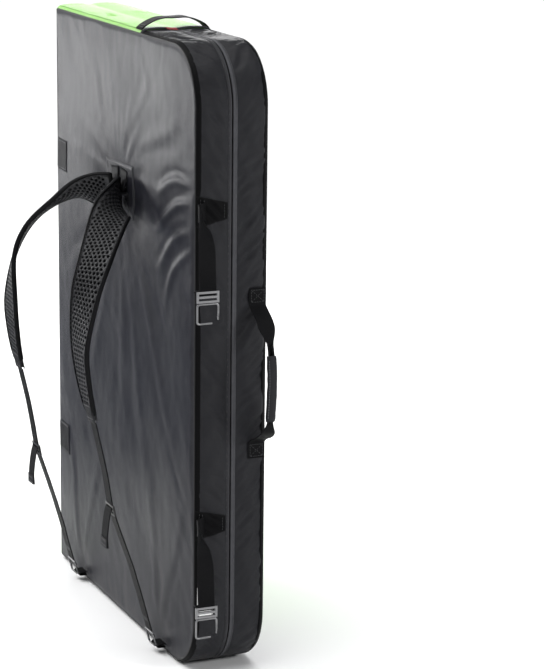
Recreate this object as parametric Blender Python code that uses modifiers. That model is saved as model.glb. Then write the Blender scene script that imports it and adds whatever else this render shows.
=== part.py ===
"""Folding bouldering crash pad: two foam-filled halves, a carrying harness, handles and closing straps.

Metres, +Z up. X runs along the width from the spine to the opening side, Y through the thickness from
the harness face to the front face. The origin is under the middle of the harness half.
"""

import math

import bmesh
import bpy
from mathutils import Matrix, Vector

# Driving dimensions
WIDTH = 0.666
HEIGHT = 1.000
HALF_DEPTH = 0.060
OPEN_RADIUS = 0.095
SPINE_RADIUS = 0.008
GREEN_WIDTH = 0.427

FIT = 0.0003
HALF_GAP = 0.001
CLOTH = 0.0010
BINDING_CLOTH = 0.0016
BINDING_WIDTH = 0.0065
PIPING_RADIUS = 0.0015
FIRM_FOAM = 0.0100
BASE_FOAM = 0.0080

WEBBING = 0.028
WEB_THICKNESS = 0.0018
STRAP_WIDTH = 0.066
STRAP_THICKNESS = 0.010
BINDING_TUBE = 0.0024
PAD_GAP = 0.0012

SPINE_X = -WIDTH / 2
OPEN_X = WIDTH / 2
SEAM_X = SPINE_X + GREEN_WIDTH
JUNCTION_Y = HALF_DEPTH / 2
HARNESS_Y = JUNCTION_Y - HALF_DEPTH
FRONT_Y = JUNCTION_Y + HALF_DEPTH
FOAM_INSET = 2 * PIPING_RADIUS + FIT

UPPER_HOOK_Z = 0.750
LOWER_HOOK_Z = 0.252
ARC_STEPS = 10

scene_objects = list(bpy.data.objects)
for old in scene_objects:
    bpy.data.objects.remove(old, do_unlink=True)

pad = bpy.data.collections.new("crash_pad")
cutters = bpy.data.collections.new("cutters")
bpy.context.scene.collection.children.link(pad)
bpy.context.scene.collection.children.link(cutters)


# ---------------------------------------------------------------- materials
PALETTE = {
    "grey_nylon": ((0.115, 0.118, 0.130), 0.48, 0.0),
    "black_nylon": ((0.030, 0.031, 0.034), 0.62, 0.0),
    "green_nylon": ((0.205, 0.560, 0.070), 0.60, 0.0),
    "light_piping": ((0.300, 0.310, 0.330), 0.60, 0.0),
    "landing_nylon": ((0.055, 0.056, 0.060), 0.70, 0.0),
    "soft_foam": ((0.420, 0.420, 0.400), 0.95, 0.0),
    "firm_foam": ((0.070, 0.070, 0.075), 0.90, 0.0),
    "webbing": ((0.022, 0.022, 0.025), 0.75, 0.0),
    "strap_mesh": ((0.045, 0.045, 0.050), 0.70, 0.0),
    "label": ((0.850, 0.850, 0.840), 0.70, 0.0),
    "red_tag": ((0.620, 0.060, 0.050), 0.65, 0.0),
    "metal": ((0.720, 0.720, 0.730), 0.28, 1.0),
    "plastic": ((0.025, 0.025, 0.027), 0.45, 0.0),
}


def make_material(node, look):
    colour, roughness, metallic = PALETTE[look]
    material = bpy.data.materials.new(node + "_" + look)
    material.use_nodes = True
    shader = material.node_tree.nodes["Principled BSDF"]
    shader.inputs["Base Color"].default_value = (*colour, 1.0)
    shader.inputs["Roughness"].default_value = roughness
    shader.inputs["Metallic"].default_value = metallic
    return material


def add_object(name, data, look):
    piece = bpy.data.objects.new(name, data)
    pad.objects.link(piece)
    data.materials.append(make_material(name, look))
    return piece


# ---------------------------------------------------------------- shape helpers
def arc(centre_x, centre_z, radius, start, end):
    points = []
    for step in range(ARC_STEPS + 1):
        angle = math.radians(start + (end - start) * step / ARC_STEPS)
        points.append((centre_x + radius * math.cos(angle), centre_z + radius * math.sin(angle)))
    return points


def outline(inset, low_x=SPINE_X, high_x=OPEN_X, low_radius=SPINE_RADIUS, high_radius=OPEN_RADIUS):
    """The pad's outline in X and Z, anticlockwise from the lower spine corner, moved inwards by inset."""
    x0, x1, z0, z1 = low_x + inset, high_x - inset, inset, HEIGHT - inset
    r0 = max(low_radius - inset, 0.0008)
    r1 = max(high_radius - inset, 0.0008)
    points = arc(x0 + r0, z0 + r0, r0, 180, 270)
    points += arc(x1 - r1, z0 + r1, r1, 270, 360)
    points += arc(x1 - r1, z1 - r1, r1, 0, 90)
    points += arc(x0 + r0, z1 - r0, r0, 90, 180)
    return points


def plate(name, points, low_y, high_y, look):
    """A flat sheet in X and Z between two values of Y."""
    curve = bpy.data.curves.new(name, "CURVE")
    curve.dimensions = "2D"
    curve.fill_mode = "BOTH"
    curve.extrude = (high_y - low_y) / 2
    spline = curve.splines.new("POLY")
    spline.points.add(len(points) - 1)
    for point, (x, z) in zip(spline.points, points):
        point.co = (x, z, 0, 1)
    spline.use_cyclic_u = True
    piece = add_object(name, curve, look)
    piece.rotation_euler = (math.pi / 2, 0, 0)
    piece.location = (0, (low_y + high_y) / 2, 0)
    return piece


def strip_mesh(name, rows, closed):
    """An open surface through rows of points, one face between each two neighbours."""
    mesh = bpy.data.meshes.new(name)
    shape = bmesh.new()
    made = [[shape.verts.new(point) for point in row] for row in rows]
    pairs = list(zip(made, made[1:]))
    if closed:
        pairs.append((made[-1], made[0]))
    for row, following in pairs:
        for column in range(len(row) - 1):
            corners = (row[column], following[column], following[column + 1], row[column + 1])
            shape.faces.new(corners)
    shape.to_mesh(mesh)
    shape.free()
    return mesh


def solidify(piece, thickness, offset):
    modifier = piece.modifiers.new("thickness", "SOLIDIFY")
    modifier.thickness = thickness
    modifier.offset = offset
    modifier.use_even_offset = True
    return modifier


def band(name, points, low_y, high_y, thickness, look, closed=False):
    """A strip that stands on the outline and is thick inwards."""
    rows = [[(x, low_y, z), (x, high_y, z)] for x, z in points]
    piece = add_object(name, strip_mesh(name, rows, closed), look)
    solidify(piece, thickness, 1.0)
    return piece


def ribbon(name, stations, thickness, look):
    """A flat band: each station is its centre and the vector across its whole width."""
    rows = []
    for centre, across in stations:
        middle = Vector(centre)
        half = Vector(across) / 2
        rows.append([middle - half, middle + half])
    piece = add_object(name, strip_mesh(name, rows, False), look)
    solidify(piece, thickness, 0.0)
    return piece


def tube(name, points, radius, look, closed=False):
    curve = bpy.data.curves.new(name, "CURVE")
    curve.dimensions = "3D"
    curve.bevel_depth = radius
    curve.bevel_resolution = 2
    curve.use_fill_caps = not closed
    spline = curve.splines.new("POLY")
    spline.points.add(len(points) - 1)
    for point, position in zip(spline.points, points):
        point.co = (*position, 1)
    spline.use_cyclic_u = closed
    return add_object(name, curve, look)


def box_mesh(name, low, high):
    mesh = bpy.data.meshes.new(name)
    shape = bmesh.new()
    low, high = Vector(low), Vector(high)
    size = high - low
    placement = Matrix.Translation((low + high) / 2) @ Matrix.Diagonal((*size, 1.0))
    bmesh.ops.create_cube(shape, size=1.0, matrix=placement)
    shape.to_mesh(mesh)
    shape.free()
    return mesh


def box(name, low, high, look):
    return add_object(name, box_mesh(name, low, high), look)


def wrap(centre, radius, start, end, steps=6):
    """Points in Y and Z on an arc round a bar, angles in degrees from +Y towards +Z."""
    points = []
    for step in range(steps + 1):
        angle = math.radians(start + (end - start) * step / steps)
        points.append((centre[0] + radius * math.cos(angle), centre[1] + radius * math.sin(angle)))
    return points


def smooth_path(points, count):
    """Evenly counted points on a Catmull-Rom curve through the given vectors."""
    padded = [2 * points[0] - points[1], *points, 2 * points[-1] - points[-2]]
    spans = len(points) - 1
    result = []
    for step in range(count + 1):
        place = min(step * spans / count, spans - 1e-9)
        index = int(place)
        t = place - index
        a, b, c, d = padded[index : index + 4]
        curve = 2 * b + (c - a) * t
        curve += (2 * a - 5 * b + 4 * c - d) * t * t
        curve += (3 * b - a - 3 * c + d) * t * t * t
        result.append(curve / 2)
    return result


# ---------------------------------------------------------------- the two foam-filled halves
def depth(side, distance):
    """Y at a distance from the plane where the halves meet: side -1 is the harness half, +1 the front."""
    return JUNCTION_Y + side * distance


def span(side, near, far):
    return sorted((depth(side, near), depth(side, far)))


def make_half(prefix, side):
    near = HALF_GAP
    binding = near + BINDING_WIDTH
    landing = near + CLOTH
    firm = landing + FIT + FIRM_FOAM
    outer = HALF_DEPTH - CLOTH
    base = outer - FIT - BASE_FOAM
    piping_edge = HALF_DEPTH - 2 * PIPING_RADIUS

    ring = outline(0)
    band(prefix + "_inner_binding", ring, *span(side, near, binding), BINDING_CLOTH, "black_nylon", True)
    plate(prefix + "_landing_panel", outline(BINDING_CLOTH + FIT), *span(side, near, landing), "landing_nylon")
    foam = outline(FOAM_INSET)
    plate(prefix + "_landing_foam", foam, *span(side, landing + FIT, firm), "firm_foam")
    plate(prefix + "_core_foam", foam, *span(side, firm + FIT, base - FIT), "soft_foam")
    plate(prefix + "_base_foam", foam, *span(side, base, base + BASE_FOAM), "firm_foam")

    gusset = span(side, binding + FIT, piping_edge - FIT)
    black_path = [p for p in ring if p[0] > SEAM_X and p[1] > HEIGHT / 2]
    black_path = [p for p in ring if p[1] < HEIGHT / 2] + black_path + [(SEAM_X + FIT, HEIGHT)]
    start = [(SPINE_X, SPINE_RADIUS + FIT)]
    green_path = [(SEAM_X - FIT, HEIGHT)] + [p for p in ring if p[0] < SEAM_X and p[1] > HEIGHT / 2] + start
    band(prefix + "_gusset_black", black_path, *gusset, CLOTH, "black_nylon")
    band(prefix + "_gusset_green", green_path, *gusset, CLOTH, "green_nylon")

    cord = [(x, depth(side, HALF_DEPTH - PIPING_RADIUS), z) for x, z in outline(PIPING_RADIUS)]
    tube(prefix + "_piping", cord, PIPING_RADIUS, "light_piping", closed=True)


make_half("rear", -1)
make_half("front", 1)

plate("rear_harness_panel", outline(FOAM_INSET), HARNESS_Y, HARNESS_Y + CLOTH, "grey_nylon")

green_panel = outline(FOAM_INSET, high_x=SEAM_X + FOAM_INSET - 0.0018, high_radius=0.001)
black_panel = outline(FOAM_INSET, low_x=SEAM_X - FOAM_INSET + 0.0018, low_radius=0.001)
plate("front_panel_green", green_panel, FRONT_Y - CLOTH, FRONT_Y, "green_nylon")
plate("front_panel_black", black_panel, FRONT_Y - CLOTH, FRONT_Y, "black_nylon")
divider = [(SEAM_X, FRONT_Y + 0.0003, z) for z in (FOAM_INSET, HEIGHT - FOAM_INSET)]
tube("front_panel_piping", divider, 0.0012, "light_piping")

FOLD_X = SPINE_X - 0.0015
web_low = (FOLD_X - 0.0005, JUNCTION_Y - 0.0006, 0.012)
web_high = (SPINE_X + 0.015, JUNCTION_Y + 0.0006, HEIGHT - 0.012)
box("hinge_web", web_low, web_high, "black_nylon")


# ---------------------------------------------------------------- top flap, its tag and the carrying loop
FLAP_LOW_Z = HEIGHT + FIT
FLAP_EDGE = 0.0015
FLAP_ROOT_Y = FRONT_Y - FLAP_EDGE
FLAP_TOP_Z = FLAP_LOW_Z + 0.0012
flap_low = (SPINE_X + FLAP_EDGE, HARNESS_Y + FLAP_EDGE, FLAP_LOW_Z)
flap_high = (SEAM_X, FLAP_ROOT_Y, FLAP_TOP_Z)
box("top_flap", flap_low, flap_high, "green_nylon")

LOOP_X = SEAM_X - 0.016
LOOP_RISE = 0.015
LOOP_FOOT = 0.020
LOOP_FLEX_GAP = 0.0012
loop_low_y = HARNESS_Y + 0.003
loop_high_y = FRONT_Y - 0.003
loop_base_z = FLAP_TOP_Z + FIT + WEB_THICKNESS / 2


def loop_height(y):
    share = (y - loop_low_y) / (loop_high_y - loop_low_y)
    return loop_base_z + LOOP_RISE * math.sin(math.pi * share) ** 0.8


def loop_stations(low_y, high_y, count):
    stations = []
    for step in range(count + 1):
        y = low_y + (high_y - low_y) * step / count
        stations.append(((LOOP_X, y, loop_height(y)), (WEBBING, 0, 0)))
    return stations


ribbon("top_loop_foot_rear", loop_stations(loop_low_y, loop_low_y + LOOP_FOOT, 3), WEB_THICKNESS, "webbing")
ribbon("top_loop_foot_front", loop_stations(loop_high_y - LOOP_FOOT, loop_high_y, 3), WEB_THICKNESS, "webbing")
loop_free_low_y = loop_low_y + LOOP_FOOT + LOOP_FLEX_GAP
loop_free_high_y = loop_high_y - LOOP_FOOT - LOOP_FLEX_GAP
loop_middle = loop_stations(loop_free_low_y, loop_free_high_y, 8)
ribbon("top_loop", loop_middle, WEB_THICKNESS, "webbing")

tag_low = (SEAM_X - 0.001, JUNCTION_Y - 0.019, FLAP_TOP_Z + FIT)
tag_high = (SEAM_X + 0.012, JUNCTION_Y - 0.001, FLAP_TOP_Z + FIT + 0.0010)
box("top_flap_tag", tag_low, tag_high, "red_tag")


# ---------------------------------------------------------------- patches, tabs and the care label
PATCH = 0.0012
PATCH_Y = HARNESS_Y - FIT
for label, middle_z in (("upper", 0.745), ("lower", 0.235)):
    patch_low = (SPINE_X + 0.006, PATCH_Y - PATCH, middle_z - 0.027)
    patch_high = (SPINE_X + 0.066, PATCH_Y, middle_z + 0.027)
    box("spine_patch_" + label, patch_low, patch_high, "webbing")

TAB_WIDE = 0.048
TAB_NARROW = 0.026


def side_tab(name, middle_z):
    """A webbing tab on the opening side, wide at the harness seam and narrow where the halves meet."""
    stations = []
    for y, width in ((HARNESS_Y + 0.0035, TAB_WIDE), (JUNCTION_Y - 0.010, TAB_NARROW)):
        stations.append(((OPEN_X + FIT + PATCH / 2, y, middle_z), (0, 0, width)))
    return ribbon(name, stations, PATCH, "webbing")


side_tab("side_tab_upper", UPPER_HOOK_Z)
side_tab("side_tab_lower", LOWER_HOOK_Z)

LABEL_Z = 0.125
label_low = (OPEN_X + FIT, HARNESS_Y + 0.005, LABEL_Z - 0.025)
label_high = (OPEN_X + FIT + 0.0007, HARNESS_Y + 0.030, LABEL_Z + 0.025)
box("care_label", label_low, label_high, "label")


# ---------------------------------------------------------------- carry handle on the opening side
HANDLE_Y = FRONT_Y - 0.018
HANDLE_TOP = 0.600
HANDLE_BOTTOM = 0.380
HANDLE_REACH = 0.064
HANDLE_ROOT = 0.014


handle_route = [
    (HANDLE_ROOT, HANDLE_TOP - 0.0115),
    (0.038, HANDLE_TOP - 0.026),
    (0.058, HANDLE_TOP - 0.058),
    (HANDLE_REACH, HANDLE_TOP - 0.100),
    (HANDLE_REACH - 0.002, HANDLE_BOTTOM + 0.080),
    (0.054, HANDLE_BOTTOM + 0.034),
    (0.038, HANDLE_BOTTOM + 0.018),
    (HANDLE_ROOT, HANDLE_BOTTOM + 0.0088),
]
handle_points = smooth_path([Vector((OPEN_X + x, HANDLE_Y, z)) for x, z in handle_route], 28)
GRIP_Z = 0.485
GRIP_HALF = 0.065
GRIP_TAPER = 0.020
GRIP_WEBBING = 0.012


def handle_width(z):
    """The webbing is folded narrow inside the grip and opens to its full width beyond it."""
    share = (abs(z - GRIP_Z) - GRIP_HALF) / GRIP_TAPER
    return GRIP_WEBBING + (WEBBING - GRIP_WEBBING) * min(max(share, 0.0), 1.0)


ribbon("handle_webbing", [(p, (0, handle_width(p.z), 0)) for p in handle_points], WEB_THICKNESS, "webbing")

# Each root is sewn flat to the wall, turns out, and ends just clear of the swinging webbing.
WALL_GAP = FIT + WEB_THICKNESS / 2
upper_root = [(WALL_GAP, 0.026), (WALL_GAP, 0.001), (0.0030, -0.0035), (HANDLE_ROOT - 0.0006, -0.0075)]
lower_root = [(WALL_GAP, -0.026), (WALL_GAP, -0.001), (0.0030, 0.0025), (HANDLE_ROOT - 0.0006, 0.0055)]
for label, base_z, route in (("upper", HANDLE_TOP, upper_root), ("lower", HANDLE_BOTTOM, lower_root)):
    stations = [((OPEN_X + x, HANDLE_Y, base_z + z), (0, WEBBING, 0)) for x, z in route]
    ribbon("handle_root_" + label, stations, WEB_THICKNESS, "webbing")


def sleeve(name, points, width, height, wall, look):
    """A padded sleeve, open at both ends, round a webbing whose width is along Y."""
    rows = []
    for index, point in enumerate(points):
        before = points[max(index - 1, 0)]
        after = points[min(index + 1, len(points) - 1)]
        along = (after - before).normalized()
        out = along.cross(Vector((0, 1, 0))).normalized()
        row = []
        for step in range(13):
            angle = 2 * math.pi * (step % 12) / 12
            across = Vector((0, 1, 0)) * math.copysign(abs(math.cos(angle)) ** 0.6, math.cos(angle)) * width / 2
            row.append(point + across + out * math.sin(angle) * height / 2)
        rows.append(row)
    piece = add_object(name, strip_mesh(name, rows, False), look)
    weld = piece.modifiers.new("weld", "WELD")
    weld.merge_threshold = 0.00001
    solidify(piece, wall, 0.0)
    return piece


sleeve("handle_grip", handle_points[9:20], 0.016, 0.0090, 0.0020, "webbing")


# ---------------------------------------------------------------- metal hooks
def hook_mesh(name, width, drop, wire, gate):
    """A flat wire hook in local X and Z: an upper bar for the webbing and a lower bar with an open gate."""
    half = width / 2
    bend = 0.004
    corners = [
        (half - gate, -drop),
        (-half + bend, -drop),
        (-half, -drop + bend),
        (-half, -bend),
        (-half + bend, 0),
        (half - bend, 0),
        (half, -bend),
        (half, -drop + gate * 0.6),
    ]
    return tube(name, [(x, 0, z) for x, z in corners], wire, "metal")


# ---------------------------------------------------------------- closing straps with hooks
CLOSER_RADIUS = 0.0016
CLOSER_REACH = 0.070
CLOSER_DROP = 0.105


def closing_strap(label, middle_z):
    """A webbing strap sewn at the harness seam, hanging in a quarter arch, with a hook at its end."""
    root = Vector((OPEN_X + 0.0045, HARNESS_Y + 0.002, middle_z))
    route = [
        root,
        root + Vector((0.022, -0.003, -0.001)),
        root + Vector((0.045, -0.007, -0.014)),
        root + Vector((0.062, -0.010, -0.040)),
        root + Vector((CLOSER_REACH, -0.012, -0.072)),
        root + Vector((CLOSER_REACH + 0.002, -0.012, -CLOSER_DROP)),
    ]
    points = smooth_path(route, 16)
    stations = []
    for index, point in enumerate(points):
        share = index / (len(points) - 1)
        before = points[max(index - 1, 0)]
        after = points[min(index + 1, len(points) - 1)]
        along = (after - before).normalized()
        turn = min(1.0, share / 0.75) * math.pi / 2
        across = Vector((0, -math.sin(turn), math.cos(turn)))
        across = (across - along * across.dot(along)).normalized()
        stations.append((point, across * WEBBING))
    ribbon("closing_strap_" + label, stations, WEB_THICKNESS, "webbing")

    end = points[-1]
    adjuster_top = end.z - 0.0012
    slot = 0.0036
    bar = 0.0035
    depth_x = 0.0030
    length = 3 * bar + 2 * slot
    low = Vector((end.x - depth_x / 2, end.y - 0.018, adjuster_top - length))
    high = Vector((end.x + depth_x / 2, end.y + 0.018, adjuster_top))
    frame_piece = box("closing_adjuster_" + label, low, high, "metal")
    for number in range(2):
        slot_top = adjuster_top - bar - number * (slot + bar)
        cut_low = (low.x - 0.002, end.y - WEBBING / 2 - 0.0008, slot_top - slot)
        cut_high = (high.x + 0.002, end.y + WEBBING / 2 + 0.0008, slot_top)
        slot_cutter(frame_piece, "closing_slot_%s_%d" % (label, number), cut_low, cut_high)

    tail_top = adjuster_top - bar - slot / 2
    tail = [
        Vector((end.x - 0.0032, end.y, tail_top)),
        Vector((end.x - 0.012, end.y, tail_top + 0.001)),
        Vector((end.x - 0.026, end.y, tail_top + 0.003)),
    ]
    ribbon("closing_tail_" + label, [(p, (0, WEBBING, 0)) for p in tail], WEB_THICKNESS, "webbing")

    hook = hook_mesh("closing_hook_" + label, 0.034, 0.030, CLOSER_RADIUS, 0.010)
    hook.location = (end.x, end.y, adjuster_top - length - CLOSER_RADIUS - FIT)
    hook.rotation_euler = (0, 0, math.pi / 2)


def slot_cutter(target, name, low, high):
    cutter = bpy.data.objects.new(name, box_mesh(name, low, high))
    cutters.objects.link(cutter)
    cutter.hide_render = True
    cutter.display_type = "WIRE"
    cut = target.modifiers.new(name, "BOOLEAN")
    cut.operation = "DIFFERENCE"
    cut.solver = "EXACT"
    cut.object = cutter


closing_strap("upper", UPPER_HOOK_Z)
closing_strap("lower", LOWER_HOOK_Z)


# ---------------------------------------------------------------- shoulder harness
YOKE_TOP_Z = 0.765
YOKE_Y = HARNESS_Y - FIT
box("harness_root_patch", (-0.060, YOKE_Y - PATCH, 0.690), (0.060, YOKE_Y, YOKE_TOP_Z + 0.012), "webbing")

# Places along a shoulder strap: sideways from the harness's middle, out from the face, height,
# then the direction across it (sideways, out, up) and its width.
STRAP_ROUTE = [
    ((0.014, 0.0085, 0.731), (0.02, 0.00, -1.00), 0.054),
    ((0.052, 0.0260, 0.724), (0.12, -0.35, -0.93), 0.060),
    ((0.112, 0.0620, 0.702), (0.55, -0.75, -0.05), STRAP_WIDTH),
    ((0.164, 0.1000, 0.657), (0.76, -0.62, 0.14), STRAP_WIDTH),
    ((0.182, 0.1250, 0.600), (0.93, -0.37, 0.02), STRAP_WIDTH),
    ((0.181, 0.1345, 0.520), (1.00, -0.05, 0.02), STRAP_WIDTH),
    ((0.186, 0.1280, 0.450), (1.00, 0.00, 0.05), 0.054),
    ((0.190, 0.1165, 0.398), (1.00, 0.00, 0.00), 0.034),
]
STRAP_END = STRAP_ROUTE[-1][0]
SLIDER_PLACE = (0.191, 0.0880, 0.250)
HOOK_PLACE = (0.196, 0.0245, 0.0375)


def strap_point(place, side):
    return Vector((side * place[0], HARNESS_Y - place[1], place[2]))


def strap_across(direction, side):
    return Vector((side * direction[0], -direction[1], direction[2])).normalized()


def shoulder_strap(label, side):
    centres = smooth_path([strap_point(place, side) for place, across, width in STRAP_ROUTE], 28)
    across_path = smooth_path([strap_across(across, side) for place, across, width in STRAP_ROUTE], 28)
    width_path = smooth_path([Vector((width, 0, 0)) for place, across, width in STRAP_ROUTE], 28)
    stations = []
    for index, centre in enumerate(centres):
        before = centres[max(index - 1, 0)]
        after = centres[min(index + 1, len(centres) - 1)]
        along = (after - before).normalized()
        across = across_path[index]
        across = (across - along * across.dot(along)).normalized()
        stations.append((centre, across * width_path[index].x))
    trim = 2 * (2 * BINDING_TUBE + PAD_GAP)
    core = [(centre, across * (1 - trim / across.length)) for centre, across in stations[:-1]]
    ribbon("strap_pad_" + label, core, STRAP_THICKNESS, "strap_mesh")
    inset = 2 * BINDING_TUBE
    inner = [centre - across / 2 * (1 - inset / across.length) for centre, across in stations]
    outer = [centre + across / 2 * (1 - inset / across.length) for centre, across in stations]
    tube("strap_binding_" + label, inner + outer[::-1], BINDING_TUBE, "webbing")


def lower_strap(label, side):
    """The webbing, slider and hook below a shoulder pad, all across X."""
    top = strap_point(STRAP_END, side)
    slider = strap_point(SLIDER_PLACE, side)
    hook = strap_point(HOOK_PLACE, side)
    start = top + Vector((0, 0, -0.0065))
    down = (slider - top).normalized()
    normal = Vector((0, -1, 0)) - down * Vector((0, -1, 0)).dot(down)
    normal.normalize()
    across = (WEBBING, 0, 0)

    bar, slot, thick = 0.0035, 0.0038, 0.0030
    length = 3 * bar + 2 * slot
    upper_end = slider - down * (length / 2 + 0.0012)
    upper = smooth_path([start, start.lerp(upper_end, 0.5) - normal * 0.002, upper_end], 6)
    ribbon("strap_upper_webbing_" + label, [(p, across) for p in upper], WEB_THICKNESS, "webbing")

    turn = math.atan2(down.y, -down.z)
    frame_piece = box("strap_slider_" + label, (-0.0185, -thick / 2, -length / 2), (0.0185, thick / 2, length / 2),
                      "plastic")
    frame_piece.location = slider
    frame_piece.rotation_euler = (turn, 0, 0)
    for number in range(2):
        slot_top = length / 2 - bar - number * (slot + bar)
        name = "strap_slot_%s_%d" % (label, number)
        slot_cutter(frame_piece, name, (-0.0148, -0.01, slot_top - slot), (0.0148, 0.01, slot_top))
        cutter = bpy.data.objects[name]
        cutter.location = slider
        cutter.rotation_euler = (turn, 0, 0)

    lower_start = slider + down * (length / 2 + 0.0012)
    lower_end = hook + Vector((0, 0, 0.0040))
    lower = smooth_path([lower_start, lower_start.lerp(lower_end, 0.5) - normal * 0.003, lower_end], 10)
    ribbon("strap_lower_webbing_" + label, [(p, across) for p in lower], WEB_THICKNESS, "webbing")

    tail_start = slider + normal * 0.0034
    tail = [
        tail_start,
        tail_start + normal * 0.006 + Vector((0, 0, -0.010)),
        tail_start + normal * 0.009 + Vector((0, 0, -0.040)),
        tail_start + normal * 0.008 + Vector((0, 0, -0.058)),
    ]
    ribbon("strap_tail_" + label, [(p, across) for p in smooth_path(tail, 6)], WEB_THICKNESS, "webbing")

    metal = hook_mesh("harness_hook_" + label, 0.036, 0.026, 0.0017, 0.011)
    metal.location = hook
    metal.rotation_euler = (math.radians(16), 0, 0)


def anchor_loop(label, side):
    """A flat webbing loop sewn at the lower edge of the harness face."""
    x = side * HOOK_PLACE[0]
    outer = 0.0125
    eye = 0.0016
    middle_z = 0.0125
    points = [(YOKE_Y - 0.0012, middle_z + eye)]
    points += wrap((YOKE_Y - outer, middle_z), eye, 90, 270)
    points += [(YOKE_Y - 0.0012, middle_z - eye)]
    stations = [((x, y, z), (WEBBING, 0, 0)) for y, z in points]
    ribbon("anchor_loop_" + label, stations, WEB_THICKNESS, "webbing")


for label, side in (("left", -1), ("right", 1)):
    shoulder_strap(label, side)
    lower_strap(label, side)
    anchor_loop(label, side)
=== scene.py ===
"""Looks of the folding crash pad: fabric covers, webbing, straps, hooks, light and camera."""

import math

import bmesh
import bpy
import numpy as np
from mathutils import Matrix, Vector
from mathutils.geometry import delaunay_2d_cdt


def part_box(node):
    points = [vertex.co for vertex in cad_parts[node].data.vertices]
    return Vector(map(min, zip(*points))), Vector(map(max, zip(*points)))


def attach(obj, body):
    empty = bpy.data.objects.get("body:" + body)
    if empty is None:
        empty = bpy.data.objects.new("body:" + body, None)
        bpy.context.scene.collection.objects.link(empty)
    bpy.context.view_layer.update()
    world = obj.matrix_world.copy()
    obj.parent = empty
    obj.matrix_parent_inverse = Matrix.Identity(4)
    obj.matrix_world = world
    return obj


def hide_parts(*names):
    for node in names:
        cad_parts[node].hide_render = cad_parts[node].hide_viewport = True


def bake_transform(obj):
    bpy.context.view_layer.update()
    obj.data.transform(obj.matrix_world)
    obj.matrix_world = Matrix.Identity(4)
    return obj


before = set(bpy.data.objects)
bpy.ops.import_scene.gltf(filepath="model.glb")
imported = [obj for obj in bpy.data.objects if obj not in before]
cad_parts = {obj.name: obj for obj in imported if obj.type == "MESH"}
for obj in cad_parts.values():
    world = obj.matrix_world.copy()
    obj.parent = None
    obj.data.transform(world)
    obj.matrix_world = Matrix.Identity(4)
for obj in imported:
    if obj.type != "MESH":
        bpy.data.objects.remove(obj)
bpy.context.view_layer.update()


# ---------------------------------------------------------------- sizes taken from the frame
SPINE_X, _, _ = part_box("rear_piping")[0]
OPEN_X, _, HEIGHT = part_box("rear_piping")[1]
HARNESS_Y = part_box("rear_harness_panel")[0].y
FRONT_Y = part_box("front_panel_black")[1].y
JUNCTION_Y = (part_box("rear_landing_panel")[1].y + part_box("front_landing_panel")[0].y) / 2
SEAM_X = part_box("front_panel_piping")[1].x - 0.0012
HALF_DEPTH = FRONT_Y - JUNCTION_Y
OPEN_RADIUS = 0.095
SPINE_RADIUS = 0.008

ROLL = 0.0105
SEAM_DEPTH = HALF_DEPTH - ROLL
SEAM_TURN = math.radians(58)
BINDING_DEPTH = 0.0078
CLOTH = 0.0008
BULGE = 0.0017
WEBBING = 0.028
WEB_THICKNESS = 0.0018


# ---------------------------------------------------------------- smooth noise, the same on every run
def lattice(i, j, seed):
    value = np.sin(i * 12.9898 + j * 78.233 + seed * 37.719) * 43758.5453
    return (value - np.floor(value)) * 2 * math.pi


def ripple(x, y, seed=0):
    """Gradient noise from about -1 to 1."""
    x, y = np.broadcast_arrays(np.asarray(x, float), np.asarray(y, float))
    i, j = np.floor(x), np.floor(y)
    fx, fy = x - i, y - j

    def corner(di, dj):
        angle = lattice(i + di, j + dj, seed)
        return np.cos(angle) * (fx - di) + np.sin(angle) * (fy - dj)

    u = fx**3 * (fx * (fx * 6 - 15) + 10)
    v = fy**3 * (fy * (fy * 6 - 15) + 10)
    low = corner(0, 0) * (1 - u) + corner(1, 0) * u
    high = corner(0, 1) * (1 - u) + corner(1, 1) * u
    return (low * (1 - v) + high * v) * 1.45


def ridge(value, soft=0.12):
    """Turns noise into rounded ridges with a sharp crest."""
    return 0.35 - np.sqrt(value**2 + soft**2)


def joined(*parts):
    """Points from their coordinates, each an array or one number."""
    return np.stack(np.broadcast_arrays(*parts), -1)


def step(value):
    t = np.clip(value, 0, 1)
    return t * t * (3 - 2 * t)


# ---------------------------------------------------------------- materials
def math_node(tree, operation, a, b=None):
    node = tree.nodes.new("ShaderNodeMath")
    node.operation = operation
    for socket, value in zip(node.inputs, (a, b)):
        if value is None:
            continue
        if isinstance(value, (int, float)):
            socket.default_value = value
        else:
            tree.links.new(value, socket)
    return node.outputs[0]


def scaled_colour(tree, colour, factor):
    """A constant colour times a factor that varies over the surface."""
    mix = tree.nodes.new("ShaderNodeVectorMath")
    mix.operation = "SCALE"
    mix.inputs[0].default_value = colour
    tree.links.new(factor, mix.inputs["Scale"])
    return mix.outputs[0]


def mix_colour(tree, factor, a, b):
    mix = tree.nodes.new("ShaderNodeMix")
    mix.data_type = "RGBA"
    tree.links.new(factor, mix.inputs[0])
    for socket, value in ((mix.inputs[6], a), (mix.inputs[7], b)):
        if isinstance(value, tuple):
            socket.default_value = (*value, 1.0)
        else:
            tree.links.new(value, socket)
    return mix.outputs[2]


def shader_of(name, constants):
    material = bpy.data.materials.new(name)
    material.use_nodes = True
    shader = material.node_tree.nodes["Principled BSDF"]
    for socket, value in constants.items():
        shader.inputs[socket].default_value = value
    return material, material.node_tree, shader


def times_plus(tree, value, factor, offset):
    result = math_node(tree, "MULTIPLY_ADD", value, factor)
    result.node.inputs[2].default_value = offset
    return result


def bumped(tree, height, strength, distance, normal=None):
    node = tree.nodes.new("ShaderNodeBump")
    node.inputs["Strength"].default_value = strength
    node.inputs["Distance"].default_value = distance
    tree.links.new(height, node.inputs["Height"])
    if normal:
        tree.links.new(normal, node.inputs["Normal"])
    return node.outputs[0]


def cloth_coordinates(tree):
    uv = tree.nodes.new("ShaderNodeUVMap")
    uv.uv_map = "cloth"
    return uv.outputs[0]


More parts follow.
